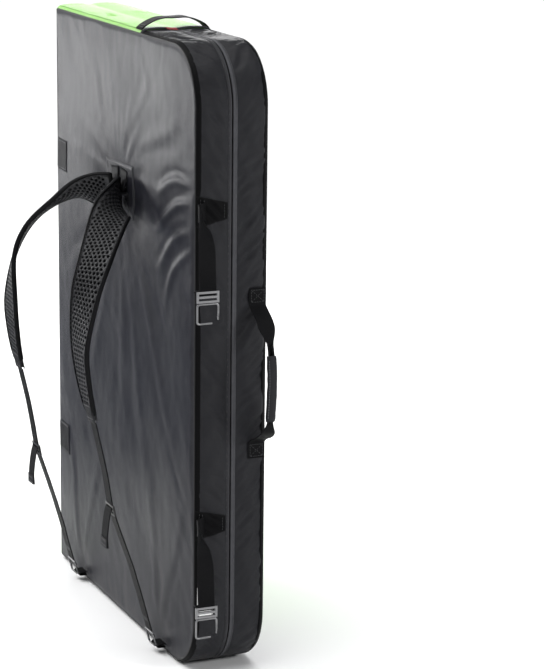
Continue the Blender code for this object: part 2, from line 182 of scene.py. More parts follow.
def scaled(tree, vector, scale):
    node = tree.nodes.new("ShaderNodeVectorMath")
    node.operation = "MULTIPLY"
    tree.links.new(vector, node.inputs[0])
    node.inputs[1].default_value = scale
    return node.outputs[0]


def noise_of(tree, vector, scale, detail=3.0, rough=0.55):
    node = tree.nodes.new("ShaderNodeTexNoise")
    node.inputs["Scale"].default_value = scale
    node.inputs["Detail"].default_value = detail
    node.inputs["Roughness"].default_value = rough
    tree.links.new(vector, node.inputs["Vector"])
    return node.outputs["Fac"]


def fabric(name, colour, roughness, thread=(0.0006, 0.0006), relief=0.00012, contrast=0.5, blotch=0.16,
           dust=(0.25, 0.25, 0.25), dust_share=0.5, rib=0.0, specular=0.5, sheen=0.0, sheen_roughness=0.5):
    """Woven cloth: threads over and under, uneven dye and gloss, and dust or wear where it is asked for."""
    sockets = {"Specular IOR Level": specular, "Sheen Weight": sheen, "Sheen Roughness": sheen_roughness}
    material, tree, shader = shader_of(name, sockets)
    uv = cloth_coordinates(tree)
    threads = scaled(tree, uv, (1 / thread[0], 1 / thread[1], 1.0))
    split = tree.nodes.new("ShaderNodeSeparateXYZ")
    tree.links.new(threads, split.inputs[0])

    def rounded(output):
        turned = math_node(tree, "MULTIPLY", output, math.pi)
        return math_node(tree, "ABSOLUTE", math_node(tree, "SINE", turned))

    warp, weft = rounded(split.outputs[0]), rounded(split.outputs[1])
    checker = tree.nodes.new("ShaderNodeTexChecker")
    checker.inputs["Scale"].default_value = 1.0
    tree.links.new(threads, checker.inputs["Vector"])
    over = tree.nodes.new("ShaderNodeMix")
    tree.links.new(checker.outputs["Fac"], over.inputs[0])
    tree.links.new(warp, over.inputs[2])
    tree.links.new(weft, over.inputs[3])
    height = over.outputs[0]
    if rib:
        height = math_node(tree, "ADD", math_node(tree, "MULTIPLY", height, 1 - rib),
                           math_node(tree, "MULTIPLY", weft, rib))

    broad = noise_of(tree, uv, 7.0, 4.0)
    fine = noise_of(tree, uv, 160.0, 2.0)
    uneven = times_plus(tree, broad, blotch, 1 - blotch / 2)
    grain = times_plus(tree, height, contrast, 1 - contrast * 0.64)
    speck = times_plus(tree, fine, 0.24, 0.88)
    tone = math_node(tree, "MULTIPLY", math_node(tree, "MULTIPLY", uneven, grain), speck)
    base = scaled_colour(tree, colour, tone)

    wear = tree.nodes.new("ShaderNodeAttribute")
    wear.attribute_name = "wear"
    patchy = math_node(tree, "MULTIPLY", noise_of(tree, uv, 55.0, 4.0, 0.65), dust_share * 2)
    amount = math_node(tree, "MULTIPLY", wear.outputs["Fac"], patchy)
    amount.node.use_clamp = True
    tree.links.new(mix_colour(tree, amount, base, dust), shader.inputs["Base Color"])

    gloss = times_plus(tree, broad, 0.16, roughness - 0.08)
    worn_gloss = math_node(tree, "MULTIPLY_ADD", amount, 0.2)
    tree.links.new(gloss, worn_gloss.node.inputs[2])
    tree.links.new(worn_gloss, shader.inputs["Roughness"])

    weave = bumped(tree, height, 0.6, relief)
    tree.links.new(bumped(tree, noise_of(tree, uv, 75.0, 3.0), 0.35, 0.0009, weave), shader.inputs["Normal"])
    return material


def hard(name, colour, roughness, grain_scale, relief, scuff=(0.5, 0.5, 0.5), scuff_share=0.25, **constants):
    """Cast metal or moulded plastic: fine grain, uneven gloss and light scuffs."""
    material, tree, shader = shader_of(name, constants)
    place = tree.nodes.new("ShaderNodeTexCoord").outputs["Object"]
    broad = noise_of(tree, place, 60.0, 4.0)
    fine = noise_of(tree, place, grain_scale, 3.0)
    specks = noise_of(tree, place, 240.0, 5.0, 0.7)
    marks = math_node(tree, "MULTIPLY", math_node(tree, "SUBTRACT", specks, 0.56), 5.0)
    marks.node.use_clamp = True
    share = math_node(tree, "MULTIPLY", marks, scuff_share)
    tone = times_plus(tree, broad, 0.3, 0.85)
    tree.links.new(mix_colour(tree, share, scaled_colour(tree, colour, tone), scuff),
                   shader.inputs["Base Color"])
    gloss = times_plus(tree, fine, 0.2, roughness - 0.1)
    tree.links.new(gloss, shader.inputs["Roughness"])
    tree.links.new(bumped(tree, fine, 0.4, relief), shader.inputs["Normal"])
    return material


FINE = (0.00055, 0.00055)
COARSE = (0.0008, 0.0008)
TAPE = (0.0011, 0.0016)
LOOKS = {
    "grey": fabric("grey_coated_nylon", (0.0150, 0.0153, 0.0205), 0.34, FINE, 0.00006, 0.25, 0.10,
                   (0.14, 0.14, 0.145), 0.4, specular=0.10),
    "black": fabric("black_nylon", (0.0120, 0.0121, 0.0145), 0.40, COARSE, 0.00020, 0.7, 0.16,
                    (0.050, 0.051, 0.056), 0.3, specular=0.14),
    "green": fabric("green_nylon", (0.200, 0.520, 0.055), 0.40, COARSE, 0.00012, 0.35, 0.10,
                    (0.36, 0.56, 0.22), 0.5, specular=0.40, sheen=0.20, sheen_roughness=0.35),
    "landing": fabric("landing_nylon", (0.022, 0.0225, 0.025), 0.62, COARSE, 0.00016, 0.55, 0.22,
                      (0.11, 0.105, 0.095), 0.6, specular=0.25, sheen=0.04),
    "binding": fabric("binding_tape", (0.040, 0.0405, 0.045), 0.50, (0.0009, 0.0009), 0.00015, 0.5, 0.14,
                      (0.13, 0.13, 0.14), 0.5, rib=0.5, specular=0.12),
    "rear_binding": fabric("rear_binding_tape", (0.022, 0.0222, 0.025), 0.48, (0.0009, 0.0009), 0.00015, 0.5,
                           0.14, (0.07, 0.07, 0.075), 0.5, rib=0.5, specular=0.10),
    "tab": fabric("tab_webbing", (0.0030, 0.0030, 0.0034), 0.55, TAPE, 0.00032, 0.6, 0.1,
                  (0.02, 0.02, 0.02), 0.3, rib=0.4, specular=0.05),
    "piping": fabric("piping_cloth", (0.0060, 0.0061, 0.0070), 0.42, FINE, 0.00008, 0.4, 0.1,
                     (0.05, 0.05, 0.05), 0.4, specular=0.3),
    "light_piping": fabric("light_piping_cloth", (0.15, 0.155, 0.17), 0.5, FINE, 0.00008, 0.4, 0.1,
                           (0.3, 0.3, 0.3), 0.4, specular=0.3),
    "webbing": fabric("webbing_cloth", (0.0042, 0.0042, 0.0048), 0.52, TAPE, 0.00040, 0.75, 0.12,
                      (0.012, 0.012, 0.013), 0.5, rib=0.45, specular=0.06),
    "patch": fabric("patch_cloth", (0.0105, 0.0107, 0.0122), 0.55, TAPE, 0.00032, 0.7, 0.14,
                    (0.06, 0.06, 0.065), 0.4, rib=0.3, specular=0.10),
    "strap_foam": fabric("strap_foam_cloth", (0.014, 0.0142, 0.016), 0.42, (0.0009, 0.0009), 0.00020, 0.45,
                         0.12, (0.14, 0.14, 0.15), 0.3, specular=0.22),
    "thread": fabric("thread", (0.12, 0.122, 0.13), 0.45, (0.0003, 0.0003), 0.00005, 0.4, 0.1),
    "dark_thread": fabric("dark_thread", (0.022, 0.0225, 0.025), 0.45, (0.0003, 0.0003), 0.00005, 0.4, 0.1),
    "label": fabric("label_cloth", (0.80, 0.80, 0.79), 0.55, (0.0004, 0.0004), 0.00004, 0.12, 0.05),
    "red": fabric("red_tag_cloth", (0.24, 0.035, 0.028), 0.5, FINE, 0.00008, 0.35, 0.1, (0.5, 0.2, 0.16),
                  0.4),
    "metal": hard("nickel_plate", (0.20, 0.20, 0.205), 0.38, 700.0, 0.00005, (0.22, 0.22, 0.21), 0.35,
                  Metallic=1.0),
    "plastic": hard("moulded_acetal", (0.012, 0.012, 0.013), 0.34, 1500.0, 0.00006, (0.06, 0.06, 0.06), 0.4,
                    **{"Specular IOR Level": 0.5}),
}


# ---------------------------------------------------------------- mesh helpers
def finish_mesh(name, points, faces, look, uv, wear, body, replaced):
    mesh = bpy.data.meshes.new(name)
    mesh.from_pydata(np.asarray(points, float).reshape(-1, 3).tolist(), [], faces)
    mesh.update()
    loops = np.zeros(len(mesh.loops), int)
    mesh.loops.foreach_get("vertex_index", loops)
    layer = mesh.uv_layers.new(name="cloth")
    layer.data.foreach_set("uv", np.asarray(uv, np.float32).reshape(-1, 2)[loops].ravel())
    attribute = mesh.attributes.new("wear", "FLOAT", "POINT")
    worn = np.zeros(len(mesh.vertices), np.float32) if wear is None else np.asarray(wear, np.float32).ravel()
    attribute.data.foreach_set("value", worn)
    mesh.polygons.foreach_set("use_smooth", np.ones(len(mesh.polygons), bool))
    mesh.materials.append(LOOKS[look])
    piece = bpy.data.objects.new(name, mesh)
    bpy.context.scene.collection.objects.link(piece)
    if replaced:
        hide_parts(*replaced)
    if body:
        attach(piece, body)
    return piece


def grid_faces(rows, columns, wrap_rows=False, wrap_columns=False, base=0):
    faces = []
    for i in range(rows if wrap_rows else rows - 1):
        for j in range(columns if wrap_columns else columns - 1):
            a = i * columns + j
            b = i * columns + (j + 1) % columns
            c = ((i + 1) % rows) * columns + (j + 1) % columns
            d = ((i + 1) % rows) * columns + j
            faces.append((base + a, base + b, base + c, base + d))
    return faces


def cloth_piece(name, grid, outward, look, uv, body, replaced=(), wear=None, thickness=CLOTH,
                wrap=False):
    """A thin closed shell: the grid is its outer side, and it is thick inwards."""
    grid = np.asarray(grid, float)
    outward = np.broadcast_to(np.asarray(outward, float), grid.shape)
    rows, columns = grid.shape[:2]
    along = np.roll(grid, -1, 0) - np.roll(grid, 1, 0) if wrap else np.gradient(grid, axis=0)
    across = np.gradient(grid, axis=1)
    normal = np.cross(along, across)
    normal /= np.maximum(np.linalg.norm(normal, axis=2, keepdims=True), 1e-12)
    sign = np.sign((normal * outward).sum())
    normal *= sign
    inner = grid - normal * thickness
    points = np.concatenate([grid.reshape(-1, 3), inner.reshape(-1, 3)])
    count = rows * columns
    top = grid_faces(rows, columns, wrap)
    bottom = [tuple(reversed(face)) for face in grid_faces(rows, columns, wrap, base=count)]
    rim = []
    last = rows if wrap else rows - 1
    for i in range(last):
        for column, flip in ((0, False), (columns - 1, True)):
            a, b = i * columns + column, ((i + 1) % rows) * columns + column
            face = (a, b, b + count, a + count)
            rim.append(tuple(reversed(face)) if flip else face)
    if not wrap:
        for j in range(columns - 1):
            for row, flip in ((0, True), (rows - 1, False)):
                a, b = row * columns + j, row * columns + j + 1
                face = (a, b, b + count, a + count)
                rim.append(tuple(reversed(face)) if flip else face)
    faces = top + bottom + rim
    if sign > 0:
        faces = [tuple(reversed(face)) for face in faces]
    both_uv = np.concatenate([np.asarray(uv, float).reshape(-1, 2)] * 2)
    both_wear = None if wear is None else np.concatenate([np.ravel(wear)] * 2)
    return finish_mesh(name, points, faces, look, both_uv, both_wear, body, replaced)


def lengths(points):
    gaps = np.linalg.norm(np.diff(points, axis=0), axis=1)
    return np.concatenate([[0.0], np.cumsum(gaps)])


def resample(points, count):
    points = np.asarray(points, float)
    place = lengths(points)
    wanted = np.linspace(0, place[-1], count)
    return np.stack([np.interp(wanted, place, points[:, k]) for k in range(points.shape[1])], 1)


def smooth_path(points, count):
    """A Catmull-Rom curve through the points."""
    points = [np.asarray(p, float) for p in points]
    padded = [2 * points[0] - points[1], *points, 2 * points[-1] - points[-2]]
    spans = len(points) - 1
    result = []
    for number in range(count + 1):
        place = min(number * spans / count, spans - 1e-9)
        index = int(place)
        t = place - index
        a, b, c, d = padded[index : index + 4]
        curve = 2 * b + (c - a) * t + (2 * a - 5 * b + 4 * c - d) * t * t + (3 * b - a - 3 * c + d) * t**3
        result.append(curve / 2)
    return np.array(result)


def unit(vectors):
    return vectors / np.maximum(np.linalg.norm(vectors, axis=-1, keepdims=True), 1e-12)


def sweep(name, centres, sideways, profile, look, body, replaced=(), closed=False, wear=None):
    """A solid along centres: the profile's first number is along sideways, its second along the normal."""
    centres = np.asarray(centres, float)
    if closed:
        along = unit(np.roll(centres, -1, 0) - np.roll(centres, 1, 0))
    else:
        along = unit(np.gradient(centres, axis=0))
    sideways = np.broadcast_to(np.asarray(sideways, float), centres.shape)
    sideways = unit(sideways - along * (sideways * along).sum(1, keepdims=True))
    normal = np.cross(along, sideways)
    profile = np.asarray(profile, float)
    if profile.ndim == 2:
        profile = np.broadcast_to(profile, (len(centres), *profile.shape))
    grid = centres[:, None] + sideways[:, None] * profile[..., :1] + normal[:, None] * profile[..., 1:]
    rows, columns = grid.shape[:2]
    faces = grid_faces(rows, columns, closed, True)
    if not closed:
        faces.append(tuple(range(columns)))
        faces.append(tuple(reversed(range((rows - 1) * columns, rows * columns))))
    around = np.concatenate([[0], np.cumsum(np.linalg.norm(np.diff(profile[0], axis=0), axis=1))])
    place = lengths(centres)
    uv = np.stack(np.broadcast_arrays(around[None], place[:, None]), 2)
    first, second = profile[0, :, 0], profile[0, :, 1]
    area = 0.5 * (first * np.roll(second, -1) - np.roll(first, -1) * second)
    if area.sum() < 0:
        faces = [tuple(reversed(face)) for face in faces]
    worn = None if wear is None else np.broadcast_to(np.asarray(wear, float).reshape(1, -1), grid.shape[:2])
    return finish_mesh(name, grid, faces, look, uv, worn, body, replaced)


def circle(radius, sides=12, flat=1.0):
    angles = np.arange(sides) * 2 * math.pi / sides
    return joined(radius * np.cos(angles), radius * flat * np.sin(angles))


def web_profile(width, thickness):
    """A flat woven band: rounded selvedges that stand a little proud."""
    a, b = width / 2, thickness / 2
    half = [(-a, 0.0), (-a + 0.0004, b * 0.8), (-a + 0.0012, b * 1.08), (-a + 0.0024, b * 0.90),
            (-a + 0.0040, b), (-a / 3, b), (a / 3, b), (a - 0.0040, b), (a - 0.0024, b * 0.90),
            (a - 0.0012, b * 1.08), (a - 0.0004, b * 0.8), (a, 0.0)]
    return np.array(half + [(x, -y) for x, y in half[-2:0:-1]])


WEB_WEAR = np.array([1, 0.7, 0.3, 0.1, 0, 0, 0, 0, 0.1, 0.3, 0.7, 1, 0.7, 0.3, 0.1, 0, 0, 0, 0, 0.1, 0.3,
                     0.7])


def webbing(name, centres, sideways, body, replaced=(), width=WEBBING,
            thickness=WEB_THICKNESS, look="webbing", count=None):
    """A woven band; width is a number or a function of the points along it."""
    centres = np.asarray(centres, float)
    total = lengths(centres)[-1]
    count = count or max(6, int(total / 0.004))
    if np.ndim(sideways) > 1:
        both = resample(np.concatenate([centres, np.asarray(sideways, float)], 1), count)
        centres, sideways = both[:, :3], both[:, 3:]
    else:
        centres = resample(centres, count)
    ripples = ripple(lengths(centres) / 0.03, 0.5, len(name)) * 0.0003
    profile = web_profile(width, thickness) if isinstance(width, float) else np.array(
        [web_profile(across, thickness) for across in width(centres)])
    return sweep(name, centres + ripples[:, None] * unit(np.cross(np.gradient(centres, axis=0), sideways)),
                 sideways, profile, look, body, replaced, wear=WEB_WEAR)


def spindles(centres, along, normal, length, radius):
    """Many small stitches as one set of points and faces."""
    along, normal = unit(along), unit(normal)
    side = np.cross(along, normal)
    shape = []
    for place, size in ((-0.5, 0.35), (-0.34, 0.9), (0.34, 0.9), (0.5, 0.35)):
        for angle in np.arange(6) * math.pi / 3:
            shape.append((place * length, math.cos(angle) * size * radius, math.sin(angle) * size * radius))
    shape = np.array(shape)
    points = (centres[:, None] + along[:, None] * shape[None, :, :1] + side[:, None] * shape[None, :, 1:2]
              + normal[:, None] * shape[None, :, 2:])
    faces = []
    for number in range(len(centres)):
        base = number * 24
        faces += grid_faces(4, 6, False, True, base)
        faces.append(tuple(base + k for k in range(6)))
        faces.append(tuple(base + 18 + k for k in reversed(range(6))))
    uv = np.tile(joined(shape[:, 1], shape[:, 0]), (len(centres), 1))
    return points.reshape(-1, 3), faces, uv


def stitches(name, runs, body, look="thread", pitch=0.0042, length=0.0031, radius=0.00042):
    """Lockstitch along each run; a run is (points, normal or normals)."""
    all_points, all_faces, all_uv, base = [], [], [], 0
    for points, normals in runs:
        points = np.asarray(points, float)
        normals = np.broadcast_to(np.asarray(normals, float), points.shape)
        count = max(1, int(lengths(points)[-1] / pitch))
        both = resample(np.concatenate([points, normals], 1), 2 * count + 1)
        centres, normal = both[1::2, :3], both[1::2, 3:]
        along = both[2::2, :3] - both[:-1:2, :3]
        made, faces, uv = spindles(centres, along, normal, length, radius)
        all_points.append(made)
        all_uv.append(uv)
        all_faces += [tuple(k + base for k in face) for face in faces]
        base += len(made)
    return finish_mesh(name, np.concatenate(all_points), all_faces, look, np.concatenate(all_uv), None, body,
                       ())


# ---------------------------------------------------------------- the pad's outline
def arc_stations(cx, cz, radius, start, end, steps):
    stations = []
    for number in range(steps + 1):
        angle = math.radians(start + (end - start) * number / steps)
        normal = (math.cos(angle), math.sin(angle))
        stations.append((cx + radius * normal[0], cz + radius * normal[1], *normal))
    return stations


def line_stations(start, end, normal, gap):
    count = max(2, int(math.dist(start, end) / gap))
    return [(start[0] + (end[0] - start[0]) * k / count, start[1] + (end[1] - start[1]) * k / count, *normal)
            for k in range(1, count)]


def outline(gap=0.004):
    """Stations x, z, and outward normal, anticlockwise from the spine's lower corner."""
    r, R = SPINE_RADIUS, OPEN_RADIUS
    x0, x1, top = SPINE_X, OPEN_X, HEIGHT
    path = arc_stations(x0 + r, r, r, 180, 270, 5)
    path += line_stations((x0 + r, 0), (x1 - R, 0), (0, -1), gap)
    path += arc_stations(x1 - R, R, R, 270, 360, 26)
    path += line_stations((x1, R), (x1, top - R), (1, 0), gap)
    path += arc_stations(x1 - R, top - R, R, 0, 90, 26)
    path += line_stations((x1 - R, top), (SEAM_X, top), (0, 1), gap)
    path.append((SEAM_X, top, 0, 1))
    path += line_stations((SEAM_X, top), (x0 + r, top), (0, 1), gap)
    path += arc_stations(x0 + r, top - r, r, 90, 180, 5)
    path += line_stations((x0, top - r), (x0, r), (-1, 0), gap)
    return np.array(path)


RING = outline()
RING_LENGTH = lengths(RING[:, :2])
OPEN_START = float(RING_LENGTH[np.argmax(RING[:, 0] >= OPEN_X - 1e-6)]) - OPEN_RADIUS
SEAM_INDEX = int(np.argmin(np.abs(RING[:, 0] - SEAM_X) + (HEIGHT - RING[:, 1]) * 10))


def edge_distance(x, z):
    """How far a point of the face is inside the outline."""
    distance = np.minimum.reduce([x - SPINE_X, OPEN_X - x, z, HEIGHT - z])
    corners = ((OPEN_X - OPEN_RADIUS, OPEN_RADIUS, True), (SPINE_X + SPINE_RADIUS, SPINE_RADIUS, False))
    for cx, radius, on_open in corners:
        for cz, above in ((HEIGHT - radius, True), (radius, False)):
            inside_x = x > cx if on_open else x < cx
            inside_z = z > cz if above else z < cz
            round_distance = radius - np.hypot(x - cx, z - cz)
            distance = np.where(inside_x & inside_z, round_distance, distance)
    return np.maximum(distance, 0)


def roll_point(turn):
    """Inset and depth on the rounded edge: turn 0 is the wall and 90 degrees the face."""
    return ROLL * (1 - np.cos(turn)), SEAM_DEPTH + ROLL * np.sin(turn)


SEAM_INSET = ROLL * (1 - math.cos(SEAM_TURN))


def roll_depth(d):
    """Depth of the cover at a distance inside the outline, before any relief."""
    near = np.clip(d, 0, ROLL)
    return SEAM_DEPTH + np.sqrt(np.maximum(ROLL**2 - (ROLL - near) ** 2, 0))


def wall_bulge(depth):
    """How far the foam pushes the side wall out at a depth from the junction."""
    share = np.clip((depth - BINDING_DEPTH) / (SEAM_DEPTH - BINDING_DEPTH), 0, 1)
    return BULGE * np.sin(math.pi * share) ** 0.7


# ---------------------------------------------------------------- fabric relief of the big faces
def gathers(s, d, width, reach, size, seed):
    """Puckers that start at a seam: s runs along it, d away from it."""
    drift = ripple(s / 0.22, d / 0.3, seed + 5) * 0.35
    wave = ridge(ripple(s / width + drift, d / 0.55, seed))
    wave = wave + 0.45 * ridge(ripple(s / (width * 0.45), d / 0.4, seed + 1))
    uneven = 0.35 + 0.65 * step(ripple(s / 0.13, 0.3, seed + 2) + 0.55)
    reach = reach * (0.55 + 0.45 * ripple(s / 0.07, 1.7, seed + 3))
    return size * wave * uneven * (1 - np.exp(-d / 0.009)) * np.exp(-d / np.maximum(reach, 0.012))


def fold(x, z, start, end, width, size):
    """A long soft fold from start to end, fading at both ends."""
    start, end = np.array(start), np.array(end)
    run = end - start
    length = np.linalg.norm(run)
    px, pz = x - start[0], z - start[1]
    along = (px * run[0] + pz * run[1]) / length
    across = (px * run[1] - pz * run[0]) / length + 0.010 * np.sin(along / length * 5.0 + size * 900)
    share = along / length
    fade = step(share / 0.25) * step((1 - share) / 0.35)
    grow = width * (0.6 + 0.7 * np.clip(share, 0, 1))
    profile = np.exp(-((across / grow) ** 2)) - 0.55 * np.exp(-(((across - grow * 1.3) / grow) ** 2))
    return size * fade * profile


def dent(x, z, place, spread_x, spread_z, size):
    return -size * np.exp(-(((x - place[0]) / spread_x) ** 2) - ((z - place[1]) / spread_z) ** 2)


def crown(d, size, reach):
    return size * (1 - np.exp(-d / reach))


YOKE = (0.0, 0.735)
ANCHORS = ((-0.196, 0.012), (0.196, 0.012))
HARNESS_FOLDS = (
    ((0.03, 0.70), (0.30, 0.52), 0.016, 0.0012),
    ((0.05, 0.67), (0.27, 0.34), 0.015, 0.0010),
    ((0.02, 0.64), (0.16, 0.20), 0.018, 0.0010),
    ((0.00, 0.64), (0.03, 0.22), 0.018, 0.0008),
    ((-0.03, 0.66), (-0.17, 0.30), 0.017, 0.0010),
    ((-0.05, 0.70), (-0.29, 0.50), 0.016, 0.0010),
    ((0.05, 0.76), (0.31, 0.70), 0.013, 0.0010),
    ((0.07, 0.79), (0.29, 0.90), 0.014, 0.0010),
    ((0.04, 0.80), (0.15, 0.97), 0.013, 0.0009),
    ((-0.04, 0.80), (-0.16, 0.96), 0.013, 0.0009),
    ((0.196, 0.02), (0.30, 0.34), 0.013, 0.0010),
    ((0.190, 0.02), (0.12, 0.34), 0.014, 0.0010),
    ((0.196, 0.02), (0.22, 0.22), 0.011, 0.0007),
    ((-0.196, 0.02), (-0.29, 0.28), 0.013, 0.0010),
    ((-0.190, 0.02), (-0.10, 0.30), 0.013, 0.0009),
    ((0.325, 0.79), (0.16, 0.76), 0.009, 0.0030),
    ((0.325, 0.76), (0.15, 0.70), 0.009, 0.0036),
    ((0.325, 0.72), (0.16, 0.63), 0.009, 0.0033),
    ((0.325, 0.70), (0.20, 0.58), 0.009, 0.0024),
    ((0.31, 0.27), (0.20, 0.34), 0.010, 0.0007),
)


def harness_relief(x, z, d):
    relief = crown(d, 0.0045, 0.055)
    relief += ripple(x / 0.26, z / 0.26, 3) * 0.0032
    relief += ripple((x + 0.5 * z) / 0.10, (z - 0.5 * x) / 0.17, 4) * 0.0012
    relief += ridge(ripple((x + 0.7 * z) / 0.050, (z - 0.7 * x) / 0.13, 6)) * 0.0008
    relief += ripple(x / 0.022, z / 0.030, 7) * 0.00035
    relief += gathers(x, HEIGHT - z, 0.040, 0.045, 0.0030, 11)
    relief += gathers(x, z, 0.040, 0.045, 0.0030, 12)
    relief += gathers(z, OPEN_X - x, 0.022, 0.022, 0.0056, 13)
    relief += gathers(z, x - SPINE_X, 0.040, 0.035, 0.0026, 14)
    for start, end, width, size in HARNESS_FOLDS:
        relief += fold(x, z, start, end, width, size)
    radius = np.hypot(x - YOKE[0], z - YOKE[1])
    angle = np.arctan2(z - YOKE[1], x - YOKE[0])
    spokes = ridge(ripple(np.cos(angle) * 3.2 + 9, np.sin(angle) * 3.2 + radius * 2.5, 21))
    relief += 0.0032 * spokes * step((radius - 0.045) / 0.05) * np.exp(-np.maximum(radius - 0.06, 0) / 0.10)
    relief += dent(x, z, (0.085, 0.715), 0.035, 0.050, 0.0060)
    relief += dent(x, z, (-0.085, 0.715), 0.035, 0.050, 0.0040)
    relief += dent(x, z, (0.0, 0.735), 0.075, 0.055, 0.0045)
    for place in ANCHORS:
        relief += dent(x, z, place, 0.030, 0.035, 0.0050)
    return relief * step((d - SEAM_INSET) / 0.009)


def front_relief(x, z, d):
    seam = np.abs(x - SEAM_X)
    relief = crown(d, 0.0038, 0.055)
    relief += ripple(x / 0.25, z / 0.30, 31) * 0.0026
    relief += ripple(x / 0.060, z / 0.16, 32) * 0.0009
    relief += ripple(x / 0.020, z / 0.045, 33) * 0.0003
    relief += gathers(x, HEIGHT - z, 0.030, 0.150, 0.0050, 34)
    relief += gathers(x, z, 0.034, 0.080, 0.0040, 35)
    relief += gathers(z, OPEN_X - x, 0.034, 0.050, 0.0036, 36)
    relief += gathers(z, x - SPINE_X, 0.036, 0.045, 0.0034, 37)
    relief += gathers(z, seam, 0.028, 0.030, 0.0022, 38) * step(seam / 0.004)
    relief -= 0.0012 * np.exp(-((seam / 0.006) ** 2))
    return relief * step((d - SEAM_INSET) / 0.009)


def landing_relief(x, z, d):
    relief = ripple(x / 0.20, z / 0.22, 41) * 0.0008 + ripple(x / 0.05, z / 0.06, 42) * 0.0003
    relief += (gathers(x, HEIGHT - z, 0.034, 0.060, 0.0016, 43)
               + gathers(x, z, 0.034, 0.060, 0.0016, 44))
    relief += (gathers(z, OPEN_X - x, 0.034, 0.050, 0.0016, 45)
               + gathers(z, x - SPINE_X, 0.034, 0.050, 0.0016, 46))
    return np.clip(relief - 0.0012 * step(d / 0.10), -0.0032, 0.0)


def edge_offsets(rolled):
    """Distances from a panel's edge, close together where the cloth rolls over it."""
    if not rolled:
        return [0.0, 0.002, 0.0045, 0.0085, 0.0135]
    return [ROLL * (1 - math.cos(math.radians(angle))) - SEAM_INSET for angle in (58, 64, 70, 76, 83, 90)] + [
        0.0085, 0.0125, 0.0170]


def face_rows(gap, inset):
    R = OPEN_RADIUS - inset
    top = HEIGHT - 2 * inset
    steps = 20
    low = [R * (1 - math.sin(math.radians(90 - 90 * k / steps))) for k in range(steps + 1)]
    count = int((top - 2 * R) / gap)
    middle = [R + (top - 2 * R) * k / count for k in range(1, count)]
    return inset + np.array(low + middle + [top - z for z in reversed(low)])


def face_limits(z, low_x, high_x, inset):
    """The lowest and highest x of the outline at each height, kept between low_x and high_x."""
    def corner(radius):
        radius = radius - inset
        near = np.clip(np.minimum(z, HEIGHT - z) - inset, 0, radius)
        return inset + radius - np.sqrt(np.maximum(radius**2 - (radius - near) ** 2, 0))
    low = np.maximum(SPINE_X + corner(SPINE_RADIUS), low_x)
    high = np.minimum(OPEN_X - corner(OPEN_RADIUS), high_x)
    return low, high


def face_grid(low_x, high_x, low_rolled, high_rolled, gap=0.0058, inset=0.0):
    z = face_rows(gap, inset)
    low, high = face_limits(z, low_x, high_x, inset)
    left, right = edge_offsets(low_rolled), edge_offsets(high_rolled)
    count = int((high_x - low_x - left[-1] - right[-1]) / gap)
    rows = []
    for height, a, b in zip(z, low, high):
        middle_low, middle_high = a + left[-1], b - right[-1]
        middle = [middle_low + (middle_high - middle_low) * k / count for k in range(1, count)]
        rows.append([a + k for k in left] + middle + [b - k for k in reversed(right)])
    x = np.array(rows)
    return x, np.broadcast_to(z[:, None], x.shape)


def big_face(name, side, low_x, high_x, relief, look, body, replaced):
    low_rolled, high_rolled = low_x <= SPINE_X, high_x >= OPEN_X
    x, z = face_grid(low_x, high_x, low_rolled, high_rolled, inset=SEAM_INSET)
    d = edge_distance(x, z)
    grid = joined(x, JUNCTION_Y + side * (roll_depth(d) + relief(x, z, d)), z)
    wear = np.exp(-(d - SEAM_INSET) / 0.0035) * 0.6 + 0.15 * np.exp(-z / 0.08)
    piece = cloth_piece(name, grid, (0, side, 0), look, joined(x, z), body, replaced, wear)
    return piece


def landing_face(prefix, side, body):
    x, z = face_grid(SPINE_X, OPEN_X, False, False, 0.009, 0.0022)
    d = edge_distance(x, z)
    depth = 0.0017 - landing_relief(x, z, d)
    grid = joined(x, JUNCTION_Y + side * depth, z)
    wear = 0.35 * step(ripple(x / 0.12, z / 0.12, 48) + 0.3)
    nodes = [prefix + "_landing_panel", prefix + "_landing_foam", prefix + "_core_foam",
             prefix + "_base_foam"]
    piece = cloth_piece(prefix + "_landing_cover", grid, (0, -side, 0), "landing", joined(x, z), body,
                        nodes, wear, 0.0007)


def wall_relief(S, D, ends, seed):
    """How far the wall stands out: foam behind it, slanting creases and puckers at its seams."""
    share = np.clip((D - BINDING_DEPTH) / (SEAM_DEPTH + 0.006 - BINDING_DEPTH), 0, 1)
    middle = np.sin(math.pi * share) ** 0.5 * ends
    slant = ripple((S + 1.3 * D) / 0.050, (D - 0.4 * S) / 0.12, seed)
    strong = 0.40 + 0.60 * step(ripple(S / 0.11, D / 0.09, seed + 7) + 0.5)
    crease = strong * ridge(ripple((S - 0.9 * D) / 0.019, (D + 0.9 * S) / 0.085, seed + 1), 0.10)
    puckers = gathers(S, np.abs(D - BINDING_DEPTH), 0.026, 0.022, 1.0, seed + 2)
    seam = gathers(S, np.abs(SEAM_DEPTH + 0.008 - D), 0.030, 0.026, 1.0, seed + 4)
    slow = ripple(S / 0.4, 0.5, seed + 3)
    relief = 0.0026 * slant + 0.0076 * crease + 0.0020 * puckers + 0.0040 * seam + slow * 0.0006
    return wall_bulge(D) + middle * relief


def roll_inset(depth):
    beyond = np.clip(depth - SEAM_DEPTH, 0, ROLL * 0.98)
    return ROLL - np.sqrt(ROLL**2 - beyond**2)


